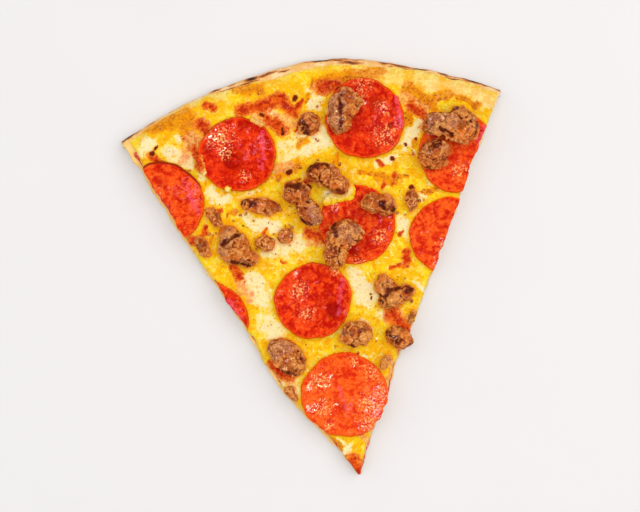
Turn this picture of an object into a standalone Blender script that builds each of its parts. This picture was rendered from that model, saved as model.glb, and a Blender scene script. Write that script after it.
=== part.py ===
"""Pizza slice with pepperoni and sausage, built layer by layer in metres with +Z up.

The slice is drawn with its tip at the origin and its rim towards +Y, and is then
carried by an empty so that the middle of its base lies at the world origin.
Dough, tomato sauce and cheese run through the whole slice. Every disc of pepperoni
and every lump of sausage is a solid of its own that rests on what lies below it.
"""

import math

import bmesh
import bpy
import numpy as np
from mathutils import Vector, noise

MM = 0.001

# The baked dough, in metres.
TIP_RADIUS = 0.0015
DOUGH_AT_TIP = 0.0034
DOUGH_AT_RIM = 0.0044
RIM_ZONE = 0.026
RIM_CREST_INSET = 0.008
RIM_RISE = 0.0046
RIM_LIP = 0.0030
BASE_EDGE_INSET = 0.0022

# The layers on it. GAP is the clearance that solids which touch keep,
# and STEEP_GAP the one over the rim's steep outside.
GAP = 0.0003
STEEP_GAP = 0.0005
SAUCE = 0.0007
SAUCE_AT_EDGE = 0.00025
SAUCE_END_INSET = 0.0095
SAUCE_FADE = 0.004
CHEESE = 0.0021
CHEESE_AT_RIM = 0.0007
CHEESE_FADE = 0.016

# The pepperoni discs and the sausage lumps.
DISC_THICKNESS = 0.0018
DISC_SEGMENTS = 18
DISC_RINGS = (0.0, 0.45, 0.8, 0.965, 1.0, 0.965, 0.8, 0.45, 0.0)
LUMP_BASE = 0.4
LUMP_ROUGHNESS = 0.16
LOBE_SHRINK = 0.93
LOBE_LIFT = 0.02

# Both cuts, as (millimetres from the tip, degrees from the middle line).
LEFT_CUT = ((0, -36), (12, -31), (45, -36), (62, -35), (90, -31), (130, -30), (205, -28.5))
RIGHT_CUT = ((0, 20), (10, 18), (15, 25), (24, 22), (43, 28), (54, 24), (80, 26.5), (205, 27))

# The rim's outside is an arc about the tip that swells a little near its middle.
RIM_RADIUS = 0.2063
RIM_SWELL = 0.004
SWELL_AT = 2
SWELL_SPREAD = 10

# The bare dough outside the cheese, as (degrees, millimetres).
BARE_RIM = (
    (-28.5, 3.6), (-23, 2.8), (-20, 1.6), (-13, 1.6), (-10, 3), (-6, 6), (-2, 4.4), (3, 3.6),
    (7, 5.4), (10, 2.6), (16, 2), (22, 2.4), (27, 3),
)

# Dough left bare along the left cut, as (millimetres from the tip, millimetres).
BARE_LEFT = ((0, 0.9), (120, 1.3), (165, 1.6), (182, 2.6), (197, 3.6), (205, 3.8))
BARE_RIGHT = 0.0007

# Pepperoni: middle x, middle y, radius and how far the edge cups up, in millimetres.
PEPPERONI = (
    (-40.9, 167.2, 18.6, 2.0),
    (24.0, 177.3, 19.6, 1.2),
    (14.0, 125.6, 19.3, 1.0),
    (-12.4, 90.4, 18.8, 2.2),
    (-2.4, 41.6, 21.3, 1.2),
    (-80.0, 148.0, 19.7, 1.8),
    (68.0, 155.0, 19.3, 0.8),
    (58.7, 114.6, 19.0, 0.8),
    (-64.7, 87.0, 19.0, 1.0),
)
# Sausage: height, then the lobes as (middle x, middle y, length, width, turn), in
# millimetres and degrees from +X.
SAUSAGE = (
    (7.5, ((15.0, 185.5, 18.0, 14.5, 0), (12.4, 178.6, 13.5, 16.5, -15))),
    (5.5, ((-4.0, 178.0, 12.5, 12.0, 70),)),
    (8.0, ((70.0, 167.5, 19.0, 19.5, 0), (59.2, 169.8, 14.0, 14.0, 0))),
    (7.5, ((55.8, 155.2, 17.5, 14.5, 35),)),
    (
        7.0,
        ((-1.0, 152.8, 16.0, 10.5, 5), (3.2, 150.3, 13.0, 12.5, -40), (6.8, 147.0, 12.5, 10.5, -45)),
    ),
    (7.0, ((22.6, 134.5, 11.0, 10.5, 0), (29.0, 133.0, 10.5, 11.5, 0))),
    (7.0, ((-14.5, 145.0, 15.0, 10.5, -5), (-9.2, 134.8, 17.5, 12.0, -68))),
    (4.5, ((-32.4, 140.2, 22.5, 9.5, -13),)),
    (8.0, ((7.5, 121.8, 18.0, 13.5, 0), (4.0, 117.0, 12.5, 11.0, 0), (1.5, 111.6, 13.0, 12.5, 0))),
    (8.0, ((-48.2, 121.0, 16.5, 16.5, 0), (-42.0, 115.0, 12.5, 9.0, -20), (-50.6, 128.4, 9.5, 8.0, 30))),
    (4.0, ((-56.4, 137.4, 12.5, 7.0, -63),)),
    (5.0, ((-32.6, 121.6, 11.0, 8.0, -20),)),
    (4.5, ((-22.3, 124.0, 8.5, 8.5, 60),)),
    (4.0, ((42.6, 134.0, 13.0, 7.0, 80),)),
    (7.5, ((24.2, 93.4, 11.0, 11.5, 0), (28.5, 87.2, 20.0, 10.5, 15))),
    (6.5, ((28.0, 66.5, 15.0, 11.5, -40),)),
    (6.0, ((7.2, 71.4, 18.0, 13.5, 0),)),
    (8.0, ((-28.7, 64.2, 23.0, 16.5, -50),)),
    (4.0, ((19.6, 55.6, 8.5, 4.8, 57),)),
    (4.0, ((35.6, 76.2, 8.5, 4.6, 62),)),
    (4.5, ((-63.6, 123.6, 13.0, 7.0, -66),)),
    (3.5, ((-29.0, 45.6, 10.5, 5.5, -60),)),
)
SMALL_LUMP = 10.0

DOUGH_COLOUR = (0.80, 0.62, 0.40)
SAUCE_COLOUR = (0.60, 0.07, 0.02)
CHEESE_COLOUR = (0.92, 0.66, 0.16)
PEPPERONI_COLOUR = (0.66, 0.08, 0.02)
SAUSAGE_COLOUR = (0.30, 0.14, 0.06)


def clear_scene():
    for old in list(bpy.data.objects):
        bpy.data.objects.remove(old)


def make_material(name, colour, roughness):
    material = bpy.data.materials.new(name)
    material.use_nodes = True
    shader = material.node_tree.nodes["Principled BSDF"]
    shader.inputs["Base Color"].default_value = (*colour, 1.0)
    shader.inputs["Roughness"].default_value = roughness
    shader.inputs["Metallic"].default_value = 0.0
    return material


def smooth(t):
    """Smooth step from 0 to 1."""
    t = min(1.0, max(0.0, t))
    return t * t * (3 - 2 * t)


def along(points, at):
    """Straight interpolation through (place, value) pairs."""
    return float(np.interp(at, [p[0] for p in points], [p[1] for p in points]))


def cut_angle(points, radius):
    return math.radians(along(points, radius / MM))


def rim_reach(angle):
    off = (math.degrees(angle) - SWELL_AT) / SWELL_SPREAD
    return RIM_RADIUS + RIM_SWELL * math.exp(-off * off)


def bare_rim(angle):
    return along(BARE_RIM, math.degrees(angle)) * MM


def sag(x, y):
    """The slow rise and fall of the whole slice's upper side."""
    wave = math.sin(x / 0.013 + 0.8) * math.cos(y / 0.017) + math.sin(y / 0.012 - x / 0.03)
    return 0.00018 * wave


def dough_top(x, y):
    """Height of the baked dough: a thin base that swells into the rim."""
    radius = math.hypot(x, y)
    inset = rim_reach(math.atan2(x, y)) - radius
    base = DOUGH_AT_TIP + (DOUGH_AT_RIM - DOUGH_AT_TIP) * radius / (radius + inset)
    if inset >= RIM_CREST_INSET:
        rise = smooth((RIM_ZONE - inset) / (RIM_ZONE - RIM_CREST_INSET))
        return base + RIM_RISE * rise + sag(x, y)
    out = min(1.0, 1 - max(0.0, inset) / RIM_CREST_INSET)
    crest = base + RIM_RISE - RIM_LIP
    return RIM_LIP + crest * math.sqrt(max(0.0, 1 - out * out)) + sag(x, y) * (1 - out)


def inset_from_rim(x, y):
    return rim_reach(math.atan2(x, y)) - math.hypot(x, y)


def sauce_thickness(inset):
    return SAUCE_AT_EDGE + (SAUCE - SAUCE_AT_EDGE) * smooth((inset - SAUCE_END_INSET) / SAUCE_FADE)


def sauce_top(x, y):
    return dough_top(x, y) + GAP + sauce_thickness(inset_from_rim(x, y))


def cheese_under(x, y):
    """The cheese's underside: over the sauce, and down onto the dough past its end."""
    inset = inset_from_rim(x, y)
    over_sauce = smooth((inset - RIM_CREST_INSET + 0.002) / 0.003)
    gap = STEEP_GAP + (GAP - STEEP_GAP) * smooth(inset / RIM_CREST_INSET - 0.5)
    return dough_top(x, y) + gap + (sauce_thickness(inset) + GAP) * over_sauce


def cheese_top(x, y):
    inset = inset_from_rim(x, y)
    thickness = CHEESE_AT_RIM + (CHEESE - CHEESE_AT_RIM) * smooth((inset - 0.003) / CHEESE_FADE)
    return cheese_under(x, y) + thickness


def wedge_point(row, across, end, left_share, inset_right):
    """Plan position. row runs 0 to 1 from the tip to the rim's zone, and on to 2 at its end.

    across runs 0 to 1 from the left cut to the right one. end is how far short of the
    rim's outside row 2 stops, as a function of the angle. left_share is how much of the
    bare strip along the left cut is left clear.
    """
    angle = math.radians(-27 + 54 * across)
    for _ in range(4):
        reach = rim_reach(angle)
        if row <= 1:
            radius = TIP_RADIUS + row * (reach - RIM_ZONE - TIP_RADIUS)
        else:
            stop = end(angle)
            radius = reach - stop - (RIM_ZONE - stop) * (2 - row)
        narrow = min(1.0, radius / 0.02)
        inset_left = along(BARE_LEFT, radius / MM) * MM * left_share
        left = cut_angle(LEFT_CUT, radius) + inset_left * narrow / radius
        right = cut_angle(RIGHT_CUT, radius) - inset_right * narrow / radius
        angle = left + (right - left) * across
    return radius * math.sin(angle), radius * math.cos(angle)


def make_slab(name, rows, columns, under, over, material, folder, end, insets):
    """A layer of the slice: a flat grid, extruded to two skins that are then shaped.

    under and over give a skin's point from the plan position.
    """
    bm = bmesh.new()
    bmesh.ops.create_grid(bm, x_segments=columns, y_segments=len(rows) - 1, size=0.5)
    extruded = bmesh.ops.extrude_face_region(bm, geom=list(bm.faces))
    upper = {v for v in extruded["geom"] if isinstance(v, bmesh.types.BMVert)}
    for vert in bm.verts:
        row = rows[round((vert.co.y + 0.5) * (len(rows) - 1))]
        x, y = wedge_point(row, vert.co.x + 0.5, end, *insets)
        vert.co = over(x, y) if vert in upper else under(x, y)
    bmesh.ops.recalc_face_normals(bm, faces=bm.faces)
    return finish_object(name, bm, material, folder)


def finish_object(name, bm, material, folder, sharp_degrees=50):
    mesh = bpy.data.meshes.new(name)
    bm.to_mesh(mesh)
    bm.free()
    mesh.shade_smooth()
    mesh.set_sharp_from_angle(angle=math.radians(sharp_degrees))
    if material:
        mesh.materials.append(material)
    made = bpy.data.objects.new(name, mesh)
    folder.objects.link(made)
    return made


def skin(height):
    """A skin whose height is a function of the plan position."""
    return lambda x, y: Vector((x, y, height(x, y)))


def dough_underside(x, y):
    """The flat base, drawn in under the rim so that the rim's outside is round."""
    inset = inset_from_rim(x, y)
    drawn_in = BASE_EDGE_INSET * max(0.0, 1 - inset / RIM_ZONE)
    scale = 1 - drawn_in / math.hypot(x, y)
    return Vector((x * scale, y * scale, 0.0))


def row_list(field, rim_shares):
    """Rows from the tip to the rim's end: field even ones, then one for each rim share."""
    return [i / field for i in range(field + 1)] + [2 - share for share in rim_shares]


def spots_in(x, y, length, width, turn):
    """Plan positions spread over an oval, all in metres, with the turn in radians."""
    spots = [(x, y)]
    cos, sin = math.cos(turn), math.sin(turn)
    for ring in (0.35, 0.7, 1.0):
        for step in range(18):
            a = ring * length / 2 * math.cos(math.pi * step / 9)
            b = ring * width / 2 * math.sin(math.pi * step / 9)
            spots.append((x + a * cos - b * sin, y + a * sin + b * cos))
    return spots


class Rest:
    """A surface that fits what lies below some spots and just clears it: flat, or bent a little."""

    def __init__(self, spots, height, bends):
        self.bends = bends
        self.fit = np.zeros(6 if bends else 3)
        spots = [spot for spot in spots if in_slice(*spot)]
        heights = np.array([height(*spot) for spot in spots])
        rows = np.array([self.terms(*spot) for spot in spots])
        self.fit, *_ = np.linalg.lstsq(rows, heights, rcond=None)
        self.fit[0] += float(np.max(heights - rows @ self.fit)) + GAP

    def terms(self, x, y):
        return [1.0, x, y, x * x, x * y, y * y] if self.bends else [1.0, x, y]

    def level(self, x, y):
        return float(self.fit @ self.terms(x, y))


def in_slice(x, y):
    radius = math.hypot(x, y)
    angle = math.atan2(x, y)
    return cut_angle(LEFT_CUT, radius) < angle < cut_angle(RIGHT_CUT, radius)


def disc_lift(share, turn, cup, phase):
    """How far the disc rises above its plane, from its middle to its wavy cupped edge."""
    wave = 1 + 0.35 * math.sin(2 * turn + phase) + 0.2 * math.sin(3 * turn - phase)
    return cup * MM * share**3 * wave


class Disc:
    """Where one disc of pepperoni lies, and its upper side."""

    def __init__(self, number, x, y, radius, cup):
        self.name = f"pepperoni_{number}"
        self.middle = (x * MM, y * MM)
        self.radius = radius * MM
        self.cup = cup
        self.phase = 1.7 * number
        spots = spots_in(*self.middle, 2 * self.radius, 2 * self.radius, 0.0)
        self.rest = Rest(spots, cheese_top, bends=True)

    def edge(self, turn):
        """The disc's radius, a little out of round."""
        return self.radius * (1 + 0.018 * math.sin(2 * turn + self.phase) + 0.01 * math.sin(5 * turn))

    def height(self, dx, dy):
        """Height of the underside at an offset from the middle."""
        turn = math.atan2(dy, dx)
        share = math.hypot(dx, dy) / self.radius
        level = self.rest.level(self.middle[0] + dx, self.middle[1] + dy)
        return level + disc_lift(share, turn, self.cup, self.phase)

    def top_over(self, x, y):
        """Height of the upper side at a plan position, or None beside the disc."""
        dx, dy = x - self.middle[0], y - self.middle[1]
        if math.hypot(dx, dy) > self.radius * 1.04:
            return None
        return self.height(dx, dy) + DISC_THICKNESS


def make_disc(disc, material, folder, footprint):
    """A ball flattened ring by ring into a thin cupped disc, trimmed by the cut if it meets it."""
    bm = bmesh.new()
    half = len(DISC_RINGS) // 2
    bmesh.ops.create_uvsphere(bm, u_segments=DISC_SEGMENTS, v_segments=2 * half, radius=1.0)
    for vert in bm.verts:
        ring = round((1 - math.asin(max(-1, min(1, vert.co.z))) / (math.pi / 2)) * half)
        turn = math.atan2(vert.co.y, vert.co.x)
        reach = DISC_RINGS[ring] * disc.edge(turn)
        dx, dy = reach * math.cos(turn), reach * math.sin(turn)
        share_up = 0.5 if ring == half else float(ring < half)
        vert.co = (dx, dy, disc.height(dx, dy) + DISC_THICKNESS * share_up)
    bmesh.ops.recalc_face_normals(bm, faces=bm.faces)
    made = finish_object(disc.name, bm, material, folder)
    made.location = (*disc.middle, 0)
    if footprint:
        trim = made.modifiers.new("cut_line", "BOOLEAN")
        trim.operation = "INTERSECT"
        trim.object = footprint
    return made


def support(x, y, discs):
    """Height of the highest thing below a sausage lump."""
    tops = [disc.top_over(x, y) for disc in discs]
    return max([cheese_top(x, y)] + [top for top in tops if top is not None])


def lobe_ball(lobe, height, rest, lift, seed):
    """One rounded lobe with a flat foot where it rests and an uneven outside."""
    x, y, length, width, turn = lobe
    small = max(length, width) < SMALL_LUMP + 0.5
    bm = bmesh.new()
    bmesh.ops.create_uvsphere(bm, u_segments=9 if small else 11, v_segments=6 if small else 7, radius=1.0)
    cos, sin = math.cos(math.radians(turn)), math.sin(math.radians(turn))
    for vert in bm.verts:
        way = vert.co.normalized()
        bump = 1 + LUMP_ROUGHNESS * noise.noise(way * 1.7 + Vector((seed * 3.1, seed * 1.3, 0.5)))
        out = math.hypot(way.x, way.y)
        boxy = out**0.72 / out if out > 1e-6 else 1.0
        along_lobe = way.x * boxy * length / 2 * bump * MM
        across_lobe = way.y * boxy * width / 2 * bump * MM
        if way.z < 0:
            rise = LUMP_BASE * (1 + way.z)
        else:
            rise = LUMP_BASE + (1 - LUMP_BASE) * way.z * bump
        px = x * MM + along_lobe * cos - across_lobe * sin
        py = y * MM + along_lobe * sin + across_lobe * cos
        vert.co = (px, py, rest.level(px, py) + height * MM * (rise + lift))
    bmesh.ops.recalc_face_normals(bm, faces=bm.faces)
    return bm


def make_lump(number, height, lobes, discs, material, folder, cutters):
    """A lump of sausage: one lobe, or a few joined into one solid."""
    spots = []
    for x, y, length, width, turn in lobes:
        spots += spots_in(x * MM, y * MM, length * MM, width * MM, math.radians(turn))
    rest = Rest(spots, lambda x, y: support(x, y, discs), bends=False)
    name = f"sausage_{number:02d}"
    made = finish_object(name, lobe_ball(lobes[0], height, rest, 0.0, number), material, folder)
    for extra, lobe in enumerate(lobes[1:], 1):
        ball = lobe_ball(lobe, LOBE_SHRINK * height, rest, LOBE_LIFT, number + 40 * extra)
        helper = finish_object(f"{name}_lobe_{extra}", ball, None, cutters)
        hide_helper(helper)
        join = made.modifiers.new(f"join_lobe_{extra}", "BOOLEAN")
        join.operation = "UNION"
        join.object = helper
    return made


def hide_helper(helper):
    helper.hide_render = True
    helper.display_type = "WIRE"


def build():
    clear_scene()
    slice_parts = bpy.data.collections.new("pizza_slice")
    cutters = bpy.data.collections.new("cutters")
    for folder in (slice_parts, cutters):
        bpy.context.scene.collection.children.link(folder)

    dough = make_material("baked_dough", DOUGH_COLOUR, 0.75)
    sauce = make_material("tomato_sauce", SAUCE_COLOUR, 0.35)
    cheese = make_material("melted_cheese", CHEESE_COLOUR, 0.35)
    pepperoni = make_material("pepperoni", PEPPERONI_COLOUR, 0.3)
    sausage = make_material("sausage", SAUSAGE_COLOUR, 0.55)

    rim_rows = (0.85, 0.7, 0.56, 0.42, 0.3, 0.2, 0.12, 0.06, 0.02, 0.0)
    crust = make_slab(
        "crust", row_list(18, rim_rows), 12, dough_underside, skin(dough_top), dough, slice_parts,
        end=lambda angle: 0.0, insets=(0.0, 0.0),
    )
    make_slab(
        "tomato_sauce", row_list(12, (0.8, 0.6, 0.4, 0.2, 0.0)), 10,
        skin(lambda x, y: dough_top(x, y) + GAP), skin(sauce_top), sauce, slice_parts,
        end=lambda angle: SAUCE_END_INSET, insets=(0.7, BARE_RIGHT * 0.7),
    )
    make_slab(
        "cheese", row_list(18, (0.8, 0.6, 0.44, 0.3, 0.18, 0.08, 0.0)), 12,
        skin(cheese_under), skin(cheese_top), cheese, slice_parts,
        end=bare_rim, insets=(1.0, BARE_RIGHT),
    )
    footprint = make_slab(
        "cut_footprint", row_list(18, (0.0,)), 1, skin(lambda x, y: -0.01), skin(lambda x, y: 0.03),
        None, cutters, end=lambda angle: -0.01, insets=(0.95, BARE_RIGHT),
    )
    hide_helper(footprint)

    discs = [Disc(number, *sizes) for number, sizes in enumerate(PEPPERONI, 1)]
    for disc in discs:
        make_disc(disc, pepperoni, slice_parts, footprint if crosses_cut(disc) else None)
    for number, (height, lobes) in enumerate(SAUSAGE, 1):
        make_lump(number, height, lobes, discs, sausage, slice_parts, cutters)

    carry_to_origin(crust, slice_parts, cutters)


def crosses_cut(disc):
    """True if a disc reaches past one of the two cuts."""
    for step in range(36):
        turn = math.pi * step / 18
        x = disc.middle[0] + disc.edge(turn) * math.cos(turn)
        y = disc.middle[1] + disc.edge(turn) * math.sin(turn)
        radius = math.hypot(x, y)
        margin = 0.001 / radius
        left, right = cut_angle(LEFT_CUT, radius), cut_angle(RIGHT_CUT, radius)
        if not left + margin < math.atan2(x, y) < right - margin:
            return True
    return False


def carry_to_origin(crust, *folders):
    """Parents every piece to an empty that puts the middle of the base at the origin."""
    xs = [vert.co.x for vert in crust.data.vertices]
    ys = [vert.co.y for vert in crust.data.vertices]
    carrier = bpy.data.objects.new("slice_carrier", None)
    carrier.location = (-(min(xs) + max(xs)) / 2, -(min(ys) + max(ys)) / 2, 0)
    bpy.context.scene.collection.objects.link(carrier)
    for folder in folders:
        for piece in folder.objects:
            piece.parent = carrier


build()
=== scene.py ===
"""The looks of a slice of pizza with pepperoni and crumbled sausage.

Sizes are millimetres in the slice's own plan, with its tip at the origin and its rim
towards +Y, and angles are degrees from +Y. TIP_AT carries that plan to the frame.
"""

import math

import bpy
import numpy as np
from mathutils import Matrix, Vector
from mathutils.bvhtree import BVHTree


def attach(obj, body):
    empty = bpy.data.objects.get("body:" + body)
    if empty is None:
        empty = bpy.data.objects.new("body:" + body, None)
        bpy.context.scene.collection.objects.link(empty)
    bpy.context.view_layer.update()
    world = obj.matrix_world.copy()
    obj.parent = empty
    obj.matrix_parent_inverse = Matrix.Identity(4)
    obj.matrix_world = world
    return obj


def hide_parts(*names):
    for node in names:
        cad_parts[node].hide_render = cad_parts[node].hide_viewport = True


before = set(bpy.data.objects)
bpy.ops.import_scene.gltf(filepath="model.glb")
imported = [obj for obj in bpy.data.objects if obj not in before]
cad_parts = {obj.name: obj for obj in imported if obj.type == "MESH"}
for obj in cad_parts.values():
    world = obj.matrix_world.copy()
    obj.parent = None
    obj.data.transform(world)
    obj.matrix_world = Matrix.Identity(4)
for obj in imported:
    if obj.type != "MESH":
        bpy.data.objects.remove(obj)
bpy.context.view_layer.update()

TIP_AT = np.array((2.3526, -105.7548, 0.0))

# The baked dough.
DOUGH_AT_TIP, DOUGH_AT_RIM = 3.4, 4.4
RIM_ZONE, RIM_CREST, RIM_RISE, RIM_LIP = 26.0, 8.0, 4.6, 3.0
BASE_INSET = 2.4
SAUCE_TOP, CHEESE_UNDER, CHEESE_TOP = 1.0, 1.1, 3.4

# Pepperoni: node number, middle, radius, how orange it is, and how charred its edge is; that last number also darkens
# the disc's upper edge as painted shade.
PEPPERONI = (
    (1, -40.9, 167.2, 18.6, 0.15, 0.4),
    (2, 24.0, 177.3, 19.6, 0.25, 0.35),
    (3, 14.0, 125.6, 19.3, 0.4, 0.0),
    (4, -12.4, 90.4, 18.8, 0.3, 0.2),
    (5, -2.4, 41.6, 21.3, 0.8, 0.0),
    (6, -80.0, 148.0, 19.7, 0.5, 0.7),
    (7, 68.0, 155.0, 19.3, 0.6, 0.2),
    (8, 58.7, 114.6, 19.0, 0.55, 0.0),
    (9, -64.7, 87.0, 19.0, 0.3, 0.2),
)
# Where a disc dips or is darker, as (x, y, radius, depth).
WELLS = (
    (-43.0, 165.0, 14.0, 0.35), (-5.0, 87.0, 14.0, 0.35), (30.0, 170.0, 13.0, 0.3), (-72.0, 150.0, 12.0, 0.2),
    (-44.5, 164.3, 6.6, 1.6), (-10.0, 91.0, 4.5, 0.4), (-3.0, 84.5, 7.0, 1.0), (10.5, 112.0, 4.5, 0.7), (36.5, 172.5, 2.2, 0.9),
    (-4.0, 36.0, 5.0, 0.4), (30.0, 184.0, 7.0, 0.5), (21.0, 163.5, 6.0, 0.2), (17.0, 115.0, 7.0, 0.3),
    (70.0, 148.0, 6.0, 0.2), (-80.0, 158.0, 7.0, 0.3), (-36.0, 182.0, 6.0, 0.5), (-55.0, 172.0, 5.0, 0.6),
    (-14.0, 104.0, 7.0, 0.2), (-16.0, 36.0, 4.0, 0.3), (57.0, 102.0, 6.0, 0.2), (-66.0, 85.0, 7.0, 0.3),
)
# Painted sheen: rosy stretches standing for a pink reflection of light on the discs' slopes, as (x, y, x, y, half
# width).
PAINTED_SHEEN = (
    (-27.5, 177.0, -30.0, 159.0, 1.6), (-67.5, 156.0, -64.0, 141.0, 1.9), (-5.2, 46.0, -3.5, 39.0, 1.1),
    (-3.5, 39.0, -1.4, 31.0, 0.9), (3.0, 99.0, -1.0, 82.0, 1.7), (41.0, 186.0, 42.0, 172.0, 1.5),
    (79.0, 158.0, 83.0, 165.0, 2.4), (-55.0, 96.0, -50.0, 84.0, 1.8), (76.0, 113.0, 70.0, 104.0, 1.2),
)
# Cheese that runs over a disc's edge.
TONGUES = (
    (1.0, 141.6, 10.5, 142.6, 3.4), (10.0, 145.0, 12.0, 143.5, 2.0), (-48.0, 151.2, -47.2, 150.6, 1.1), (-59.8, 168.0, -59.2, 161.0, 1.5),
    (8.5, 187.5, 6.5, 183.0, 1.4), (-31.0, 183.5, -27.5, 181.0, 1.3),
)
# Where beads of fat stand thick and catch the light, as (x, y, radius); cream dots painted there are partly the fat's
# paler colour, partly painted highlight.
BEADED = (
    (-48.0, 177.0, 7.0), (-47.0, 169.5, 4.5), (25.0, 193.0, 5.0), (33.0, 168.0, 6.5), (34.0, 181.0, 4.0),
    (-19.0, 96.0, 5.0), (-16.0, 84.0, 4.0), (12.0, 52.0, 5.0), (9.0, 36.0, 6.5),
    (12.0, 106.0, 4.0), (24.0, 118.0, 4.0), (4.0, 136.0, 3.0), (68.0, 146.0, 4.0),
    (57.0, 110.0, 4.0), (-84.0, 152.0, 3.0), (0.0, 104.0, 3.0), (8.0, 26.0, 5.0), (-14.0, 50.0, 5.0), (-15.0, 37.0, 5.0),
    (4.0, 58.0, 3.0), (-12.0, 28.0, 3.0), (17.0, 42.0, 4.0), (62.0, 118.0, 3.0), (-38.0, 156.0, 3.0),
)

# Marks on the cheese, each a stroke (x, y, x, y, half width).
MILKY = (
    (-18, 166, 2, 171, 7), (-22, 187, -21, 183, 3), (0, 187, 4, 192, 3), (-74, 171, -67, 166, 5),
    (-88, 173, -84, 179, 3), (-58, 150, -48, 147, 3), (-30, 118, -13, 122, 5), (-42, 104, -37, 94, 5),
    (-38, 82, -32, 77, 5), (60, 190, 73, 186, 4), (80, 182, 87, 178, 4), (46, 166, 51, 172, 4),
    (55, 142, 64, 141, 3), (9, 99, 15, 87, 5), (22, 79, 30, 78, 3), (-5, 74, -1, 78, 3),
    (-31, 54, -26, 46, 4), (-10, 18, -4, 14, 3), (-38, 132, -26, 129, 3), (35, 126, 38, 118, 3),
)
GOLDEN = (
    (22.0, 155.0, 40.0, 157.0, 5.0), (8.0, 158.0, 14.0, 152.0, 3.5), (-56.0, 148.0, -34.0, 151.0, 4.0),
    (16.0, 62.0, 26.0, 64.0, 4.0), (-41.0, 93.0, -40.0, 100.0, 4.5), (8.0, 101.0, 0.0, 110.0, 3.0),
    (30.0, 92.0, 44.0, 118.0, 4.0), (-46.0, 112.0, -34.0, 110.0, 3.5), (-22.0, 76.0, -14.0, 72.0, 3.0),
    (0.5, 14.0, 1.5, 9.0, 3.0), (46.0, 148.0, 52.0, 152.0, 3.5), (-86.0, 178.0, -74.0, 184.0, 4.5),
    (-64.0, 188.0, -48.0, 192.0, 4.5), (80.0, 174.0, 88.0, 178.0, 3.5), (10.0, 200.0, 34.0, 197.0, 4.5),
    (-32.0, 196.0, -8.0, 197.0, 5.0), (-22.0, 139.0, -10.0, 126.0, 2.5), (-44.0, 104.0, -34.0, 100.0, 3.0),
)
TOASTED = (
    (-83, 188, -64, 189, 5), (-66, 183, -63, 176, 4), (-22, 155, -13, 158, 3), (27, 148, 36, 145, 3),
    (50, 138, 58, 139, 2), (48, 190, 56, 181, 4), (60, 183, 67, 184, 3), (2, 198, 34, 200, 4),
    (-38, 199, -26, 198, 3), (-20, 180, -16, 176, 2), (72, 182, 78, 178, 2), (-13, 20, -8, 16, 2),
)
# Where sauce and milky cheese run together.
BLUSHING = (
    (-28.0, 184.0, -14.0, 180.0, 4.6), (-60.5, 176.0, -57.5, 166.0, 4.0), (-68.0, 168.0, -63.0, 180.0, 2.6),
    (-24.0, 158.0, -16.0, 158.0, 2.4), (-11.0, 119.5, -5.0, 118.0, 2.2), (27.0, 80.0, 32.0, 70.0, 4.0),
    (-36.0, 60.0, -28.0, 50.0, 2.4), (-48.0, 104.0, -44.0, 96.0, 3.0), (44.0, 186.0, 54.0, 178.0, 3.0),
    (2.0, 196.0, 14.0, 194.0, 3.0), (20.0, 42.0, 24.0, 56.0, 1.6), (4.0, 22.0, 8.0, 14.0, 2.0),
    (-0.5, 9.0, 0.0, 1.0, 3.4),
)
SAUCY = (
    (-36, 189, -16, 192, 3), (-16, 190, -10, 184, 3), (-24, 183, -18, 177, 3), (-58, 184, -54, 180, 3),
    (-62, 173, -60, 163, 2), (-84, 172, -80, 166, 2), (-54, 194, -50, 192, 2), (-10, 124, -4, 121, 3),
    (-50, 112, -48, 106, 2), (4, 196, 14, 194, 3), (48, 181, 53, 176, 2), (-37, 60, -29, 55, 3),
    (26, 79, 32, 69, 4), (-2, 8, 0, 1, 4), (36, 108, 36, 103, 2), (-68, 128, -64, 124, 2),
)

# Browned and folded-in parts of the sausage, each a stroke: darkened as browning and as painted shade in the folds.
BROWNED_AND_SHADED = (
    (-17.0, 148.0, -11.0, 147.0, 2.4), (-6.5, 156.5, 4.0, 158.0, 1.8), (6.5, 143.0, 9.0, 141.0, 1.7),
    (26.5, 134.0, 28.5, 132.0, 2.0), (32.0, 130.5, 32.5, 129.0, 1.6), (2.0, 128.0, 3.0, 121.0, 1.3),
    (-32.0, 57.0, -22.0, 53.0, 1.3), (21.5, 71.0, 27.0, 65.0, 1.6), (-41.0, 143.0, -36.0, 142.0, 1.8),
    (-7.5, 180.0, -5.5, 174.0, 2.2), (21.5, 86.5, 26.0, 91.5, 1.1), (26.0, 91.5, 33.0, 91.0, 1.0),
    (33.0, 91.0, 37.0, 89.5, 1.5), (13.5, 190.0, 12.0, 173.0, 0.9), (62.0, 176.0, 70.0, 177.0, 1.3),
    (54.0, 158.0, 60.0, 162.0, 1.5), (-54.0, 124.0, -46.0, 127.0, 1.2), (-50.0, 114.0, -42.0, 112.0, 1.2),
    (-14.0, 132.0, -6.0, 125.0, 1.0), (60.5, 168.0, 66.0, 163.0, 1.0), (2.0, 66.0, 10.0, 64.0, 1.0),
)
# Lumps of sausage with a greyer cut face or a tanner skin: number, then which way the
# face looks in plan (None for all over), how grey it is, and how tan the rest is; the tan also paints a highlight on
# upward faces.
MEAT_TONES = {
    1: ((-1.0, 0.0), 1.0, 0.4), 3: ((-0.9, 0.5), 0.8, 0.8), 4: ((0.0, 1.0), 0.6, 0.4), 7: ((0.3, -0.2), 0.9, 0.4),
    9: ((0.2, 0.8), 0.7, 0.7), 10: ((-0.4, 0.6), 0.8, 0.7), 17: (None, 0.1, 1.2), 18: ((-0.3, 0.6), 1.1, 0.7),
    5: ((0.6, 0.4), 0.5, 0.4), 15: (None, 0.2, 0.9), 16: (None, 0.2, 0.8), 8: (None, 0.2, 0.3),
}


def srgb(red, green, blue):
    """A colour given in everyday 0 to 255 values, as light."""
    light = [((c / 255 + 0.055) / 1.055) ** 2.4 if c > 10 else c / 255 / 12.92 for c in (red, green, blue)]
    return (*light, 1.0)


# ---------------------------------------------------------------- noise and fields

TURNED = np.array(((0.36, 0.48, -0.8), (-0.8, 0.6, 0.0), (0.48, 0.64, 0.6)))


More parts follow.
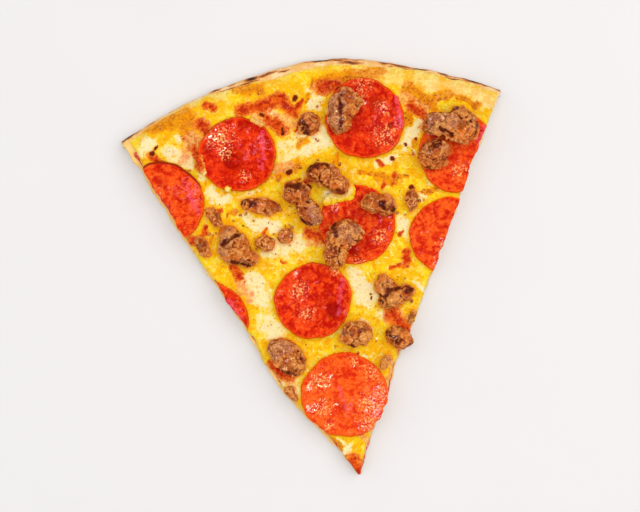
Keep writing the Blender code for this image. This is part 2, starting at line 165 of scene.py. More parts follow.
def scattered(cell, seed):
    """A repeatable number from 0 to 1 for each whole-number cell (n, 3)."""
    x, y, z = (cell[..., i].astype(np.int64).astype(np.uint32) for i in range(3))
    mixed = x * np.uint32(374761393) + y * np.uint32(668265263) + z * np.uint32(2246822519)
    mixed = mixed + np.uint32((seed * 3266489917) & 0xFFFFFFFF)
    mixed = (mixed ^ (mixed >> np.uint32(15))) * np.uint32(2246822519)
    mixed = (mixed ^ (mixed >> np.uint32(13))) * np.uint32(3266489917)
    return (mixed ^ (mixed >> np.uint32(16))) / 4294967296.0


def small_marks(count, seed, nearest, longest, thickest):
    """Strokes strewn over the slice, as (x, y, x, y, half width), none nearer the tip than nearest."""
    order = np.arange(count)
    draws = [scattered(np.stack([order, order * 0 + k, order * 0], axis=-1), seed) for k in range(5)]
    far, turn = nearest + (194 - nearest) * np.sqrt(draws[0]), np.radians(-27 + 53 * draws[1])
    x, y, lean = far * np.sin(turn), far * np.cos(turn), 2 * math.pi * draws[2]
    length, half = longest * (0.3 + 0.7 * draws[3]), thickest * (0.4 + 0.6 * draws[4])
    return tuple(zip(x, y, x + length * np.cos(lean), y + length * np.sin(lean), half))


def rim_burns(count, seed):
    """Burnt stretches of the rim, most of them right of its middle.

    Each is (angle, inset, half length in degrees, half width in millimetres).
    """
    order = np.arange(count)
    draws = [scattered(np.stack([order, order * 0 + k, order * 0], axis=-1), seed) for k in range(4)]
    return zip(-25 + 51 * draws[0] ** 0.6, 0.4 + 2.6 * draws[1], 0.7 + 1.3 * draws[2], 0.5 + 0.8 * draws[3])


def blisters(count, seed):
    """Raised bubbles in the cheese near the rim, clear of the pepperoni: (x, y, radius, rise)."""
    for x, y, _, _, radius in small_marks(count, seed, 140, 1, 3.4):
        if all(math.hypot(x - disc[1], y - disc[2]) > disc[3] + radius + 2 for disc in PEPPERONI):
            yield x, y, radius, 0.25 * radius


def noise(points, size, seed=0, octaves=1):
    """Smooth noise from -1 to 1 with features about size across, at points (n, 3)."""
    total, weight, sum_of = np.zeros(len(points)), 1.0, 0.0
    p = points @ TURNED.T / size + seed * 7.31
    for octave in range(octaves):
        low = np.floor(p)
        t = p - low
        t = t * t * t * (t * (t * 6 - 15) + 10)
        value = 0.0
        for corner in range(8):
            step = np.array((corner & 1, corner >> 1 & 1, corner >> 2))
            share = np.prod(np.where(step, t, 1 - t), axis=1)
            value = value + share * scattered(low + step, seed + octave)
        total += weight * (2 * value - 1)
        sum_of += weight
        weight *= 0.5
        p = p @ TURNED.T * 2.03 + 3.7
    return total / sum_of


def cells(points, size, seed=0):
    """Distance, in sizes, to the nearest and next nearest of scattered seeds, at points (n, 3)."""
    p = points / size
    low = np.floor(p)
    near = np.full(len(p), 9.0)
    after = near.copy()
    for dx in (-1, 0, 1):
        for dy in (-1, 0, 1):
            for dz in (-1, 0, 1):
                cell = low + (dx, dy, dz)
                spot = cell + np.stack([scattered(cell, seed + k) for k in range(3)], axis=1)
                gap = np.sqrt(((p - spot) ** 2).sum(axis=1))
                after = np.minimum(after, np.maximum(near, gap))
                near = np.minimum(near, gap)
    return near, after


def smooth(value, low=0.0, high=1.0):
    t = np.clip((value - low) / (high - low), 0.0, 1.0)
    return t * t * (3 - 2 * t)


def spots(x, y, places, soft=0.5):
    """How far each point is inside a list of round spots: 1 at their middles, 0 outside."""
    best = np.zeros(x.shape)
    for px, py, radius in places:
        reach = radius * (1 + soft)
        near = (np.abs(x - px) < reach) & (np.abs(y - py) < reach)
        gap = np.hypot(x[near] - px, y[near] - py) / radius
        best[near] = np.maximum(best[near], 1 - smooth(gap, 1 - soft, 1 + soft))
    return best


def strokes(x, y, places, soft=0.5):
    """The same for a list of round-ended strokes."""
    best = np.zeros(x.shape)
    for ax, ay, bx, by, half in places:
        reach = half * (1 + soft)
        low, high = (min(ax, bx) - reach, min(ay, by) - reach), (max(ax, bx) + reach, max(ay, by) + reach)
        near = (x > low[0]) & (x < high[0]) & (y > low[1]) & (y < high[1])
        px, py = x[near], y[near]
        length = max((bx - ax) ** 2 + (by - ay) ** 2, 1e-6)
        t = np.clip(((px - ax) * (bx - ax) + (py - ay) * (by - ay)) / length, 0.0, 1.0)
        gap = np.hypot(px - ax - t * (bx - ax), py - ay - t * (by - ay)) / half
        best[near] = np.maximum(best[near], 1 - smooth(gap, 1 - soft, 1 + soft))
    return best


# ---------------------------------------------------------------- outlines of the CAD layers


class Solid:
    """A CAD node, for finding where it is."""

    def __init__(self, name):
        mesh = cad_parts[name].data
        self.points = np.array([v.co for v in mesh.vertices]) * 1000 - TIP_AT
        self.tree = BVHTree.FromPolygons([v.co for v in mesh.vertices], [p.vertices for p in mesh.polygons])

    def top(self, x, y):
        """Height of the upper side at a plan position, or None beside the node."""
        start = Vector(((x + TIP_AT[0]) * 0.001, (y + TIP_AT[1]) * 0.001, 0.1))
        spot = self.tree.ray_cast(start, Vector((0, 0, -1)))[0]
        return None if spot is None else spot.z * 1000

    def last_hit(self, path, inside, outside):
        """Where along a path, given as a function to plan positions, the node ends."""
        for _ in range(9):
            middle = (inside + outside) / 2
            if self.top(*path(middle)) is None:
                outside = middle
            else:
                inside = middle
        return inside


class Outline:
    """The plan of a layer that runs through the slice."""

    def __init__(self, name, longest, jagged, seed):
        solid = Solid(name)
        self.radii = np.arange(2.0, longest, 1.5)
        sides = []
        for side in (-1, 1):
            found = []
            for radius in self.radii:
                def path(angle, radius=radius):
                    return radius * math.sin(angle), radius * math.cos(angle)
                middle = math.radians(3 if radius > 12 else 0)
                middle = middle if radius > 5 else math.radians(-8)
                found.append(solid.last_hit(path, middle, side * math.radians(45)))
            found = np.array(found)
            blurred = np.convolve(np.pad(found, 2, mode="edge"), np.ones(5) / 5, mode="valid")
            ragged = noise(self.line(side), 7.0, seed, 3) + 0.6 * noise(self.line(side), 1.8, seed + 5, 2)
            sides.append(blurred + ragged * jagged * np.minimum(1, self.radii / 25) / self.radii)
        self.left, self.right = sides
        self.angles = np.radians(np.arange(-27.0, 25.51, 0.5))
        ends = []
        for angle in self.angles:
            def path(radius, angle=angle):
                return radius * math.sin(angle), radius * math.cos(angle)
            ends.append(solid.last_hit(path, 180.0, 220.0))
        self.ends = np.convolve(np.pad(ends, 2, mode="edge"), np.ones(5) / 5, mode="valid")
        arc = np.column_stack([self.angles * 205, np.full(len(self.angles), 3.0), np.zeros(len(self.angles))])
        self.ends += 0.6 * jagged * (noise(arc, 9.0, seed, 3) + 0.6 * noise(arc, 3.0, seed + 3))

    def line(self, side):
        return np.column_stack([np.full(len(self.radii), 40.0 * side), self.radii, np.zeros(len(self.radii))])

    def reach(self, angle):
        return np.interp(angle, self.angles, self.ends)

    def edge_gap(self, x, y):
        """Distance inside the nearer cut, negative outside."""
        radius, angle = np.hypot(x, y), np.arctan2(x, y)
        left = np.interp(radius, self.radii, self.left)
        right = np.interp(radius, self.radii, self.right)
        return np.minimum(angle - left, right - angle) * radius

    def grid(self, along, across, short=0.0, narrow=0.0):
        """Plan positions (rows, columns): along runs 0 to 1 from tip to rim, across from cut to cut."""
        v, u = np.meshgrid(along, across, indexing="ij")
        angle = np.radians(-27 + 54 * u)
        for _ in range(5):
            radius = 1.2 + v * (self.reach(angle) - short - 1.2)
            slim = narrow * np.minimum(1, radius / 20) / radius
            left = np.interp(radius, self.radii, self.left) + slim
            right = np.interp(radius, self.radii, self.right) - slim
            angle = left + (right - left) * u
        return radius * np.sin(angle), radius * np.cos(angle)


crust_plan = Outline("crust", 200.0, 0.9, 1)
sauce_plan = Outline("tomato_sauce", 190.0, 0.5, 2)
cheese_plan = Outline("cheese", 198.0, 1.6, 3)


def dough_top(x, y):
    """Height of the baked dough: a thin base that swells into the rim."""
    radius = np.hypot(x, y)
    reach = crust_plan.reach(np.arctan2(x, y))
    inset = np.maximum(reach - radius, 0.0)
    base = DOUGH_AT_TIP + (DOUGH_AT_RIM - DOUGH_AT_TIP) * radius / reach
    sag = 0.18 * (np.sin(x / 13 + 0.8) * np.cos(y / 17) + np.sin(y / 12 - x / 30))
    inner = base + RIM_RISE * smooth((RIM_ZONE - inset) / (RIM_ZONE - RIM_CREST)) + sag
    out = np.clip(1 - inset / RIM_CREST, 0.0, 1.0)
    outer = RIM_LIP + (base + RIM_RISE - RIM_LIP) * np.sqrt(np.maximum(0.0, 1 - out * out)) + sag * (1 - out)
    return np.where(inset < RIM_CREST, outer, inner)


# ---------------------------------------------------------------- meshes


def make_piece(name, points, faces, material, fields, node=None):
    """A smooth mesh from points (n, 3) and a list of arrays of faces, one for each face size."""
    mesh = bpy.data.meshes.new(name)
    mesh.vertices.add(len(points))
    mesh.vertices.foreach_set("co", ((points + TIP_AT) * 0.001).astype(np.float32).ravel())
    corners = np.concatenate([group.ravel() for group in faces])
    counts = np.concatenate([np.full(len(group), group.shape[1]) for group in faces])
    mesh.loops.add(len(corners))
    mesh.loops.foreach_set("vertex_index", corners.astype(np.int32))
    mesh.polygons.add(len(counts))
    mesh.polygons.foreach_set("loop_start", (np.cumsum(counts) - counts).astype(np.int32))
    mesh.update(calc_edges=True)
    mesh.shade_smooth()
    for key, values in fields.items():
        mesh.attributes.new(key, "FLOAT", "POINT").data.foreach_set("value", values.astype(np.float32))
    mesh.materials.append(material)
    piece = bpy.data.objects.new(name, mesh)
    bpy.context.scene.collection.objects.link(piece)
    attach(piece, "root")
    if node:
        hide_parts(node)
    return piece


def around(rows, columns):
    """The grid places along a grid's border, anticlockwise seen from above."""
    places = [(0, j) for j in range(columns - 1)] + [(i, columns - 1) for i in range(rows - 1)]
    places += [(rows - 1, j) for j in range(columns - 1, 0, -1)] + [(i, 0) for i in range(rows - 1, 0, -1)]
    return np.array(places)


def slab(name, top, under, wall_rows, swell, coarse, material, fields, node):
    """A layer: a fine grid of points on top (rows, columns, 3), a coarser one under it, and walls.

    swell(points, share, outward) shapes a wall's row of points, share 0 being at the top.
    """
    rows, columns = top.shape[:2]
    count = rows * columns
    ids = np.arange(count).reshape(rows, columns)
    quads = [np.stack([ids[:-1, :-1], ids[:-1, 1:], ids[1:, 1:], ids[1:, :-1]], axis=-1).reshape(-1, 4)]
    points = [top.reshape(-1, 3)]
    border = around(rows, columns)
    upper, lower = top[border[:, 0], border[:, 1]], under[border[:, 0], border[:, 1]]
    tangent = np.roll(upper, -1, axis=0) - np.roll(upper, 1, axis=0)
    outward = np.stack([tangent[:, 1], -tangent[:, 0], np.zeros(len(tangent))], axis=1)
    outward /= np.maximum(np.linalg.norm(outward, axis=1), 1e-9)[:, None]
    rings = [ids[border[:, 0], border[:, 1]]]
    for step in range(1, wall_rows):
        share = step / wall_rows
        points.append(swell(upper + (lower - upper) * share, share, outward))
        rings.append(count + np.arange(len(border)))
        count += len(border)
    used = np.zeros((rows, columns), bool)
    used[::coarse, ::coarse] = True
    used[border[:, 0], border[:, 1]] = True
    low_ids = np.full((rows, columns), -1)
    low_ids[used] = count + np.arange(used.sum())
    points.append(under[used])
    rings.append(low_ids[border[:, 0], border[:, 1]])
    for ring, below in zip(rings, rings[1:]):
        quads.append(np.stack([below, np.roll(below, -1), np.roll(ring, -1), ring], axis=1))
    big = low_ids[::coarse, ::coarse]
    inner = np.stack([big[:-1, :-1], big[1:, :-1], big[1:, 1:], big[:-1, 1:]], axis=-1)[1:-1, 1:-1]
    quads.append(inner.reshape(-1, 4))
    rims = {}
    for i in range(0, rows - 1, coarse):
        for j in range(0, columns - 1, coarse):
            if 0 < i < rows - 1 - coarse and 0 < j < columns - 1 - coarse:
                continue
            fine = range(1, coarse)
            path = [(i, j)] + [(i + k, j) for k in fine if j == 0] + [(i + coarse, j)]
            path += [(i + coarse, j + k) for k in fine if i + coarse == rows - 1] + [(i + coarse, j + coarse)]
            path += [(i + coarse - k, j + coarse) for k in fine if j + coarse == columns - 1]
            path += [(i, j + coarse)] + [(i, j + coarse - k) for k in fine if i == 0]
            rims.setdefault(len(path), []).append([low_ids[place] for place in path])
    faces = [np.concatenate(quads)] + [np.array(group) for group in rims.values()]
    walls = wall_rows - 1
    full = {}
    for key, values in fields.items():
        edge = values[border[:, 0], border[:, 1]]
        full[key] = np.concatenate([values.ravel(), np.tile(edge, walls), np.zeros(used.sum())])
    full["cut"] = np.concatenate([np.zeros(rows * columns), np.ones(walls * len(border)), np.zeros(used.sum())])
    full["under"] = np.concatenate([np.zeros(count), np.ones(used.sum())])
    return make_piece(name, np.concatenate(points), faces, material, full, node)


# ---------------------------------------------------------------- materials


class Wire:
    """A shader socket that takes part in sums with numbers and other wires."""

    def __init__(self, look, socket):
        self.look = look
        self.socket = socket

    def __add__(self, other):
        return self.look.math("ADD", self, other)

    def __radd__(self, other):
        return self.look.math("ADD", other, self)

    def __sub__(self, other):
        return self.look.math("SUBTRACT", self, other)

    def __rsub__(self, other):
        return self.look.math("SUBTRACT", other, self)

    def __mul__(self, other):
        return self.look.math("MULTIPLY", self, other)

    def __rmul__(self, other):
        return self.look.math("MULTIPLY", other, self)


class Look:
    """A Principled material made of expressions."""

    def __init__(self, name, constants):
        self.material = bpy.data.materials.new(name)
        self.material.use_nodes = True
        self.tree = self.material.node_tree
        self.shader = self.tree.nodes["Principled BSDF"]
        self.place = self.node("TexCoord", {}, {}, "Object")
        for key, value in constants.items():
            self.shader.inputs[key].default_value = value

    def node(self, kind, settings, inputs, output=0):
        node = self.tree.nodes.new("ShaderNode" + kind)
        for key, value in settings.items():
            setattr(node, key, value)
        for key, value in inputs.items():
            self.feed(node.inputs[key], value)
        return Wire(self, node.outputs[output])

    def feed(self, socket, value):
        if isinstance(value, Wire):
            self.tree.links.new(value.socket, socket)
        else:
            socket.default_value = value

    def math(self, operation, first, second):
        return self.node("Math", {"operation": operation}, {0: first, 1: second})

    def field(self, name):
        return self.node("Attribute", {"attribute_name": name}, {}, "Fac")

    def noise(self, size, detail=2.0, rough=0.5, twist=0.0):
        inputs = {"Vector": self.place, "Scale": 1000 / size, "Detail": detail, "Roughness": rough, "Distortion": twist}
        return self.node("TexNoise", {}, inputs)

    def cells(self, size, feature="F1"):
        inputs = {"Vector": self.place, "Scale": 1000 / size}
        return self.node("TexVoronoi", {"feature": feature}, inputs, "Distance")

    def step(self, value, low, high):
        inputs = {"Value": value, "From Min": low, "From Max": high}
        return self.node("MapRange", {"interpolation_type": "SMOOTHSTEP"}, inputs)

    def mix(self, share, first, second):
        return self.node("Mix", {"data_type": "RGBA"}, {0: share, 6: first, 7: second}, 2)

    def finish(self, height=None, depth=0.3, **inputs):
        """Feeds the shader. height drives a bump of that many millimetres."""
        for key, value in inputs.items():
            self.feed(self.shader.inputs[key.replace("_", " ").title()], value)
        if height:
            bump = self.node("Bump", {}, {"Strength": 1.0, "Distance": depth * 0.001, "Height": height})
            self.feed(self.shader.inputs["Normal"], bump)
        return self.material


def cheese_look():
    look = Look("melted_cheese", {
        "Subsurface Weight": 0.3, "Subsurface Radius": (0.004, 0.0014, 0.0005), "Subsurface Scale": 0.8,
        "Specular IOR Level": 0.03, "Coat Roughness": 0.16, "Coat IOR": 1.4,
    })
    blotch, mottle = look.noise(6.5, 3.0, 0.55, 0.4), look.noise(3.0, 4.0, 0.6, 0.8)
    fine, grain = look.noise(1.4, 4.0, 0.65), look.noise(0.7, 2.0, 0.6)
    ragged = 1.6 * (mottle - 0.5) + 1.5 * (fine - 0.5)
    fold = look.math("ABSOLUTE", look.noise(2.4, 3.0, 0.6, 0.8) - 0.5, 0.0)
    lace = look.step(fold + 0.12 * (grain - 0.5), 0.06, 0.0)
    colour = look.mix(look.step(blotch + 1.2 * (fine - 0.5), 0.42, 0.58), srgb(255, 214, 30), srgb(254, 190, 10))
    colour = look.mix(look.step(mottle + 0.7 * (fine - 0.5), 0.52, 0.62) * 0.6, colour, srgb(254, 220, 64))
    # Painted shade: deeper orange in the pits of the relief, which is raised by the same noises.
    relief_shade_and_highlight = mottle + 0.8 * (fine - 0.5)
    colour = look.mix(look.step(relief_shade_and_highlight, 0.45, 0.3) * 0.7, colour, srgb(247, 152, 8))
    # Golden patches, and painted shade near the toppings.
    gold_and_shade = look.step(look.field("gold_and_shade") + ragged, 0.25, 1.0)
    colour = look.mix(gold_and_shade * 0.75, colour, srgb(250, 180, 6))
    milk = look.field("milk") + ragged
    colour = look.mix(look.step(milk, 0.22, 0.72) * 0.85, colour, srgb(254, 217, 92))
    colour = look.mix(look.step(milk + 0.8 * (blotch - 0.5), 0.52, 1.1) * 0.95, colour, srgb(252, 232, 180))
    tanned = blotch + 0.8 * (mottle - 0.5) + 0.5 * (fine - 0.5)
    skin = look.mix(look.step(tanned, 0.4, 0.6), srgb(253, 224, 138), srgb(249, 180, 32))
    skin = look.mix(lace * look.step(fine, 0.4, 0.6) * 0.6, skin, srgb(232, 140, 44))
    colour = look.mix(look.field("baked") * 0.75, colour, skin)
    # Painted highlight on the relief's crests, then more painted shade in its pits.
    colour = look.mix(look.step(relief_shade_and_highlight, 0.55, 0.7) * 0.6, colour, srgb(255, 236, 120))
    colour = look.mix(look.step(relief_shade_and_highlight, 0.42, 0.28) * 0.55, colour, srgb(246, 160, 24))
    # Painted shade: amber next to the sausage lumps and round the discs, where they shade the cheese.
    painted_shade = look.field("shade") + 1.5 * (mottle - 0.5) + 0.8 * (fine - 0.5)
    colour = look.mix(look.step(painted_shade, 0.3, 1.15) * 0.85, colour, srgb(253, 148, 16))
    freckles = look.step(look.cells(2.6) + 0.5 * (fine - 0.5), 0.13, 0.04)
    colour = look.mix(freckles * 0.35, colour, srgb(228, 118, 28))
    toast_field = look.field("toast") + ragged
    colour = look.mix(look.step(toast_field, 0.3, 0.85) * 0.75, colour, srgb(245, 150, 14))
    colour = look.mix(look.step(toast_field, 0.6, 1.2) * (0.3 + 0.6 * lace), colour, srgb(224, 100, 12))
    colour = look.mix(look.step(toast_field, 0.9, 1.4) * lace * 0.85, colour, srgb(160, 56, 14))
    flushed = look.step(look.field("blush") + ragged, 0.25, 0.9)
    salmon = look.mix(look.step(mottle + 0.9 * (fine - 0.5), 0.36, 0.64), srgb(252, 200, 124), srgb(241, 124, 44))
    colour = look.mix(flushed * 0.75, colour, salmon)
    sauce_at = look.field("sauce")
    sauce_field = (sauce_at + 1.2 * (mottle - 0.5) + 0.7 * (fine - 0.5)) * look.step(sauce_at, 0.02, 0.25)
    blush = look.mix(look.step(fine, 0.35, 0.65), srgb(248, 150, 52), srgb(236, 100, 18))
    colour = look.mix(look.step(sauce_field, 0.02, 0.5) * 0.9, colour, blush)
    red = look.mix(look.step(mottle + 0.6 * (fine - 0.5), 0.36, 0.64), srgb(230, 78, 12), srgb(190, 28, 4))
    colour = look.mix(look.step(sauce_field, 0.35, 1.05) * 0.95, colour, red)
    colour = look.mix(look.step(sauce_field, 1.0, 1.4) * 0.7, colour, srgb(138, 20, 8))
    char_at = look.field("char")
    char_field = (char_at + 0.9 * (grain - 0.5) + 0.6 * (fine - 0.5)) * look.step(char_at, 0.02, 0.2)
    colour = look.mix(look.step(char_field, 0.08, 0.4) * 0.75, colour, srgb(214, 100, 24))
    colour = look.mix(look.step(char_field, 0.45, 0.85), colour, srgb(112, 36, 14))
    colour = look.mix(look.field("cut") * 0.5, colour, srgb(252, 222, 140))
    wet = look.step(mottle + 0.8 * (fine - 0.5), 0.45, 0.75)
    relief = 0.9 * mottle + 0.9 * fine + 0.3 * grain - 0.25 * lace * look.step(toast_field, 0.6, 1.0)
    return look.finish(relief, 0.95, base_color=colour, roughness=0.5 - 0.2 * wet, coat_weight=0.6 * wet)


def sauce_look():
    look = Look("tomato_sauce", {"Specular IOR Level": 0.4, "Coat Roughness": 0.1})
    fine = look.noise(1.2, 3.0, 0.6)
    colour = look.mix(look.step(fine, 0.35, 0.65), srgb(196, 34, 8), srgb(232, 84, 16))
    return look.finish(fine, 0.5, base_color=colour, roughness=0.3 + 0.2 * fine, coat_weight=0.4)


def dough_look():
    look = Look("baked_dough", {
        "Subsurface Weight": 0.08, "Subsurface Radius": (0.002, 0.0012, 0.0006), "Subsurface Scale": 0.5,
        "Specular IOR Level": 0.25,
    })
    broad, mottle, fine = look.noise(9.0, 3.0, 0.6), look.noise(3.0, 3.0, 0.6), look.noise(0.9, 3.0, 0.6)
    grain = look.noise(0.35, 2.0, 0.6)
    holes = look.step(look.cells(1.6), 0.42, 0.2)
    burn = look.field("burn") + 0.55 * (mottle - 0.5) + 0.35 * (fine - 0.5)
    skin = look.mix(look.step(broad, 0.38, 0.62), srgb(244, 212, 158), srgb(238, 184, 108))
    skin = look.mix(look.step(mottle + 0.5 * (fine - 0.5), 0.45, 0.7) * 0.6, skin, srgb(228, 156, 74))
    skin = look.mix(look.field("gilded") * 0.6, skin, srgb(251, 206, 112))
    skin = look.mix(look.step(burn, 0.15, 0.5) * 0.9, skin, srgb(208, 120, 40))
    skin = look.mix(look.step(burn, 0.5, 0.85) * 0.9, skin, srgb(124, 60, 26))
    skin = look.mix(look.step(burn, 0.85, 1.15), skin, srgb(48, 24, 16))
    crumb = look.mix(look.step(fine, 0.3, 0.7), srgb(249, 230, 196), srgb(240, 208, 158))
    crumb = look.mix(holes * 0.4, crumb, srgb(216, 174, 122))
    leopard = look.step(look.noise(11.0, 4.0, 0.62, 0.5) + 0.25 * (fine - 0.5), 0.5, 0.72)
    base = look.mix(look.step(mottle, 0.3, 0.7), srgb(240, 208, 156), srgb(226, 178, 112))
    base = look.mix(leopard, base, srgb(140, 76, 34))
    base = look.mix(look.step(leopard + 0.5 * (fine - 0.5), 0.85, 1.15), base, srgb(66, 34, 20))
    base = look.mix(look.step(look.noise(2.2, 4.0, 0.7), 0.55, 0.75) * 0.7, base, srgb(246, 236, 218))
    colour = look.mix(look.field("cut"), skin, crumb)
    colour = look.mix(look.field("under"), colour, base)
    relief = 0.6 * fine + 0.4 * grain - 0.9 * look.field("cut") * holes
    return look.finish(relief, 0.5, base_color=colour, roughness=0.72 + 0.2 * (fine - 0.5))


def pepperoni_look():
    look = Look("pepperoni", {
        "Subsurface Weight": 0.03, "Subsurface Radius": (0.002, 0.0005, 0.0003), "Subsurface Scale": 0.5,
        "Specular IOR Level": 0.015, "Coat Roughness": 0.12, "Coat IOR": 1.5,
    })
    blotch, mottle = look.noise(5.0, 3.0, 0.6, 0.6), look.noise(2.4, 4.0, 0.62, 0.4)
    fine, grain = look.noise(1.1, 3.0, 0.6), look.noise(0.6, 2.0, 0.6)
    orange, beaded, dark = look.field("orange"), look.field("beaded"), look.field("dark")
    tone = blotch + 0.7 * (mottle - 0.5)
    red = look.mix(look.step(tone, 0.36, 0.62), srgb(188, 14, 1), srgb(230, 50, 6))
    warm = look.mix(look.step(tone, 0.36, 0.62), srgb(224, 48, 6), srgb(245, 98, 24))
    colour = look.mix(look.step(orange + 1.5 * (mottle - 0.5), 0.15, 0.85), red, warm)
    flecks = look.step(fine + 0.5 * (grain - 0.5) + 0.5 * (mottle - 0.5), 0.6, 0.76)
    colour = look.mix(flecks * (0.4 + 0.4 * orange), colour, srgb(248, 124, 50))
    streaks = look.step(look.noise(1.6, 4.0, 0.7, 1.0), 0.5, 0.7)
    colour = look.mix(streaks * 0.6, colour, srgb(186, 16, 2))
    smooth_well = look.step(dark + 0.4 * (mottle - 0.5), 0.3, 0.85)
    colour = look.mix(smooth_well * 0.92, colour, srgb(156, 4, 1))
    rim = look.step(look.field("rim") + 0.5 * (fine - 0.5) + 0.3 * (mottle - 0.5), 0.7, 1.05)
    colour = look.mix(rim * 0.75, colour, srgb(246, 92, 14))
    # Cream dots in the beaded clusters: partly the fat's paler colour, partly painted highlight standing in for glints.
    fat_and_painted_glints = look.step(look.noise(1.0, 2.0, 0.5) + 0.16 * beaded + 0.3 * (mottle - 0.5), 0.64, 0.78)
    colour = look.mix(fat_and_painted_glints * (0.08 + 0.7 * beaded), colour, srgb(253, 190, 112))
    # Painted sheen: a pink reflection of light painted into the colour along the rosy stretches.
    painted_sheen = look.step(look.field("painted_sheen") + 2.0 * (fine - 0.5) + 1.6 * (mottle - 0.5), 0.55, 1.1)
    colour = look.mix(painted_sheen * 0.45, colour, srgb(240, 84, 112))
    # Darker edge: partly charring, partly painted shade on the edges that face +Y.
    char = look.step(look.field("char") + 0.8 * (fine - 0.5) + 0.4 * (mottle - 0.5), 0.4, 0.85)
    colour = look.mix(char * 0.8, colour, srgb(122, 12, 5))
    colour = look.mix(look.field("cut") * 0.6, colour, srgb(238, 92, 48))
    relief = (1.0 * mottle + 0.6 * fine + 0.3 * grain) * (1 - 0.8 * smooth_well)
    return look.finish(relief, 0.6, base_color=colour, roughness=0.5, coat_weight=(0.22 + 0.68 * beaded) * (1 - 0.6 * smooth_well))


def speck_look():
    look = Look("toasted_specks", {"Specular IOR Level": 0.1})
    return look.finish(base_color=look.mix(look.noise(3.0), srgb(122, 52, 18), srgb(206, 112, 40)), roughness=0.6)


def sausage_look():
    look = Look("sausage", {
        "Subsurface Weight": 0.03, "Subsurface Radius": (0.002, 0.001, 0.0006), "Subsurface Scale": 0.5,
        "Specular IOR Level": 0.04, "Coat Roughness": 0.15,
    })
    broad, mottle = look.noise(5.0, 3.0, 0.6, 0.4), look.noise(1.8, 4.0, 0.65, 0.5)
    fine, grain = look.noise(0.9, 3.0, 0.65), look.noise(0.5, 2.0, 0.6)
    crease_shade, tan, face, tone = look.field("crease_shade"), look.field("tan"), look.field("face"), look.field("tone")
    ragged = 0.8 * (mottle - 0.5) + 0.5 * (fine - 0.5)
    colour = look.mix(look.step(tone + ragged, 0.2, 0.8), srgb(176, 69, 16), srgb(234, 120, 38))
    greyed = look.step(face + 0.7 * ragged, 0.22, 0.62)
    greys = look.mix(look.step(fine + 0.6 * (mottle - 0.5), 0.38, 0.62), srgb(162, 96, 68), srgb(212, 140, 102))
    colour = look.mix(greyed * 0.92, colour, greys)
    # Tan: partly the skin's colour, partly painted highlight on upward faces and ridges.
    colour = look.mix(look.step(tan + 0.8 * ragged, 0.3, 1.0) * 0.75, colour, srgb(248, 172, 86))
    colour = look.mix(look.step(fine + 0.8 * (mottle - 0.5), 0.5, 0.3) * 0.45, colour, srgb(138, 48, 12))
    colour = look.mix(look.step(grain + 0.8 * (fine - 0.5), 0.56, 0.72) * 0.4, colour, srgb(244, 172, 98))
    patch = broad + 0.5 * (mottle - 0.5)
    colour = look.mix(look.step(patch, 0.5, 0.3) * 0.5, colour, srgb(238, 148, 72))
    colour = look.mix(look.step(patch, 0.5, 0.66) * (0.7 - 0.4 * greyed), colour, srgb(126, 42, 12))
    # Painted shade in the hollows, towards the bottom and along the browned strokes.
    colour = look.mix(look.step(crease_shade + 0.6 * ragged, 0.15, 0.6) * 0.8, colour, srgb(138, 50, 12))
    colour = look.mix(look.step(crease_shade + 0.5 * ragged, 0.5, 0.95) * 0.9, colour, srgb(80, 24, 8))
    specks = look.step(look.cells(3.1) + 0.3 * (fine - 0.5), 0.14, 0.05)
    colour = look.mix(specks * 0.7, colour, srgb(64, 24, 14))
    glossy = look.step(mottle + 0.5 * (fine - 0.5), 0.42, 0.58)
    relief = 0.9 * mottle + 0.9 * fine + 0.4 * grain
    return look.finish(relief, 1.0, base_color=colour, roughness=0.5, coat_weight=0.95 * glossy)


# ---------------------------------------------------------------- the layers


def with_height(x, y, z):
    return np.stack([x, y, z], axis=-1)


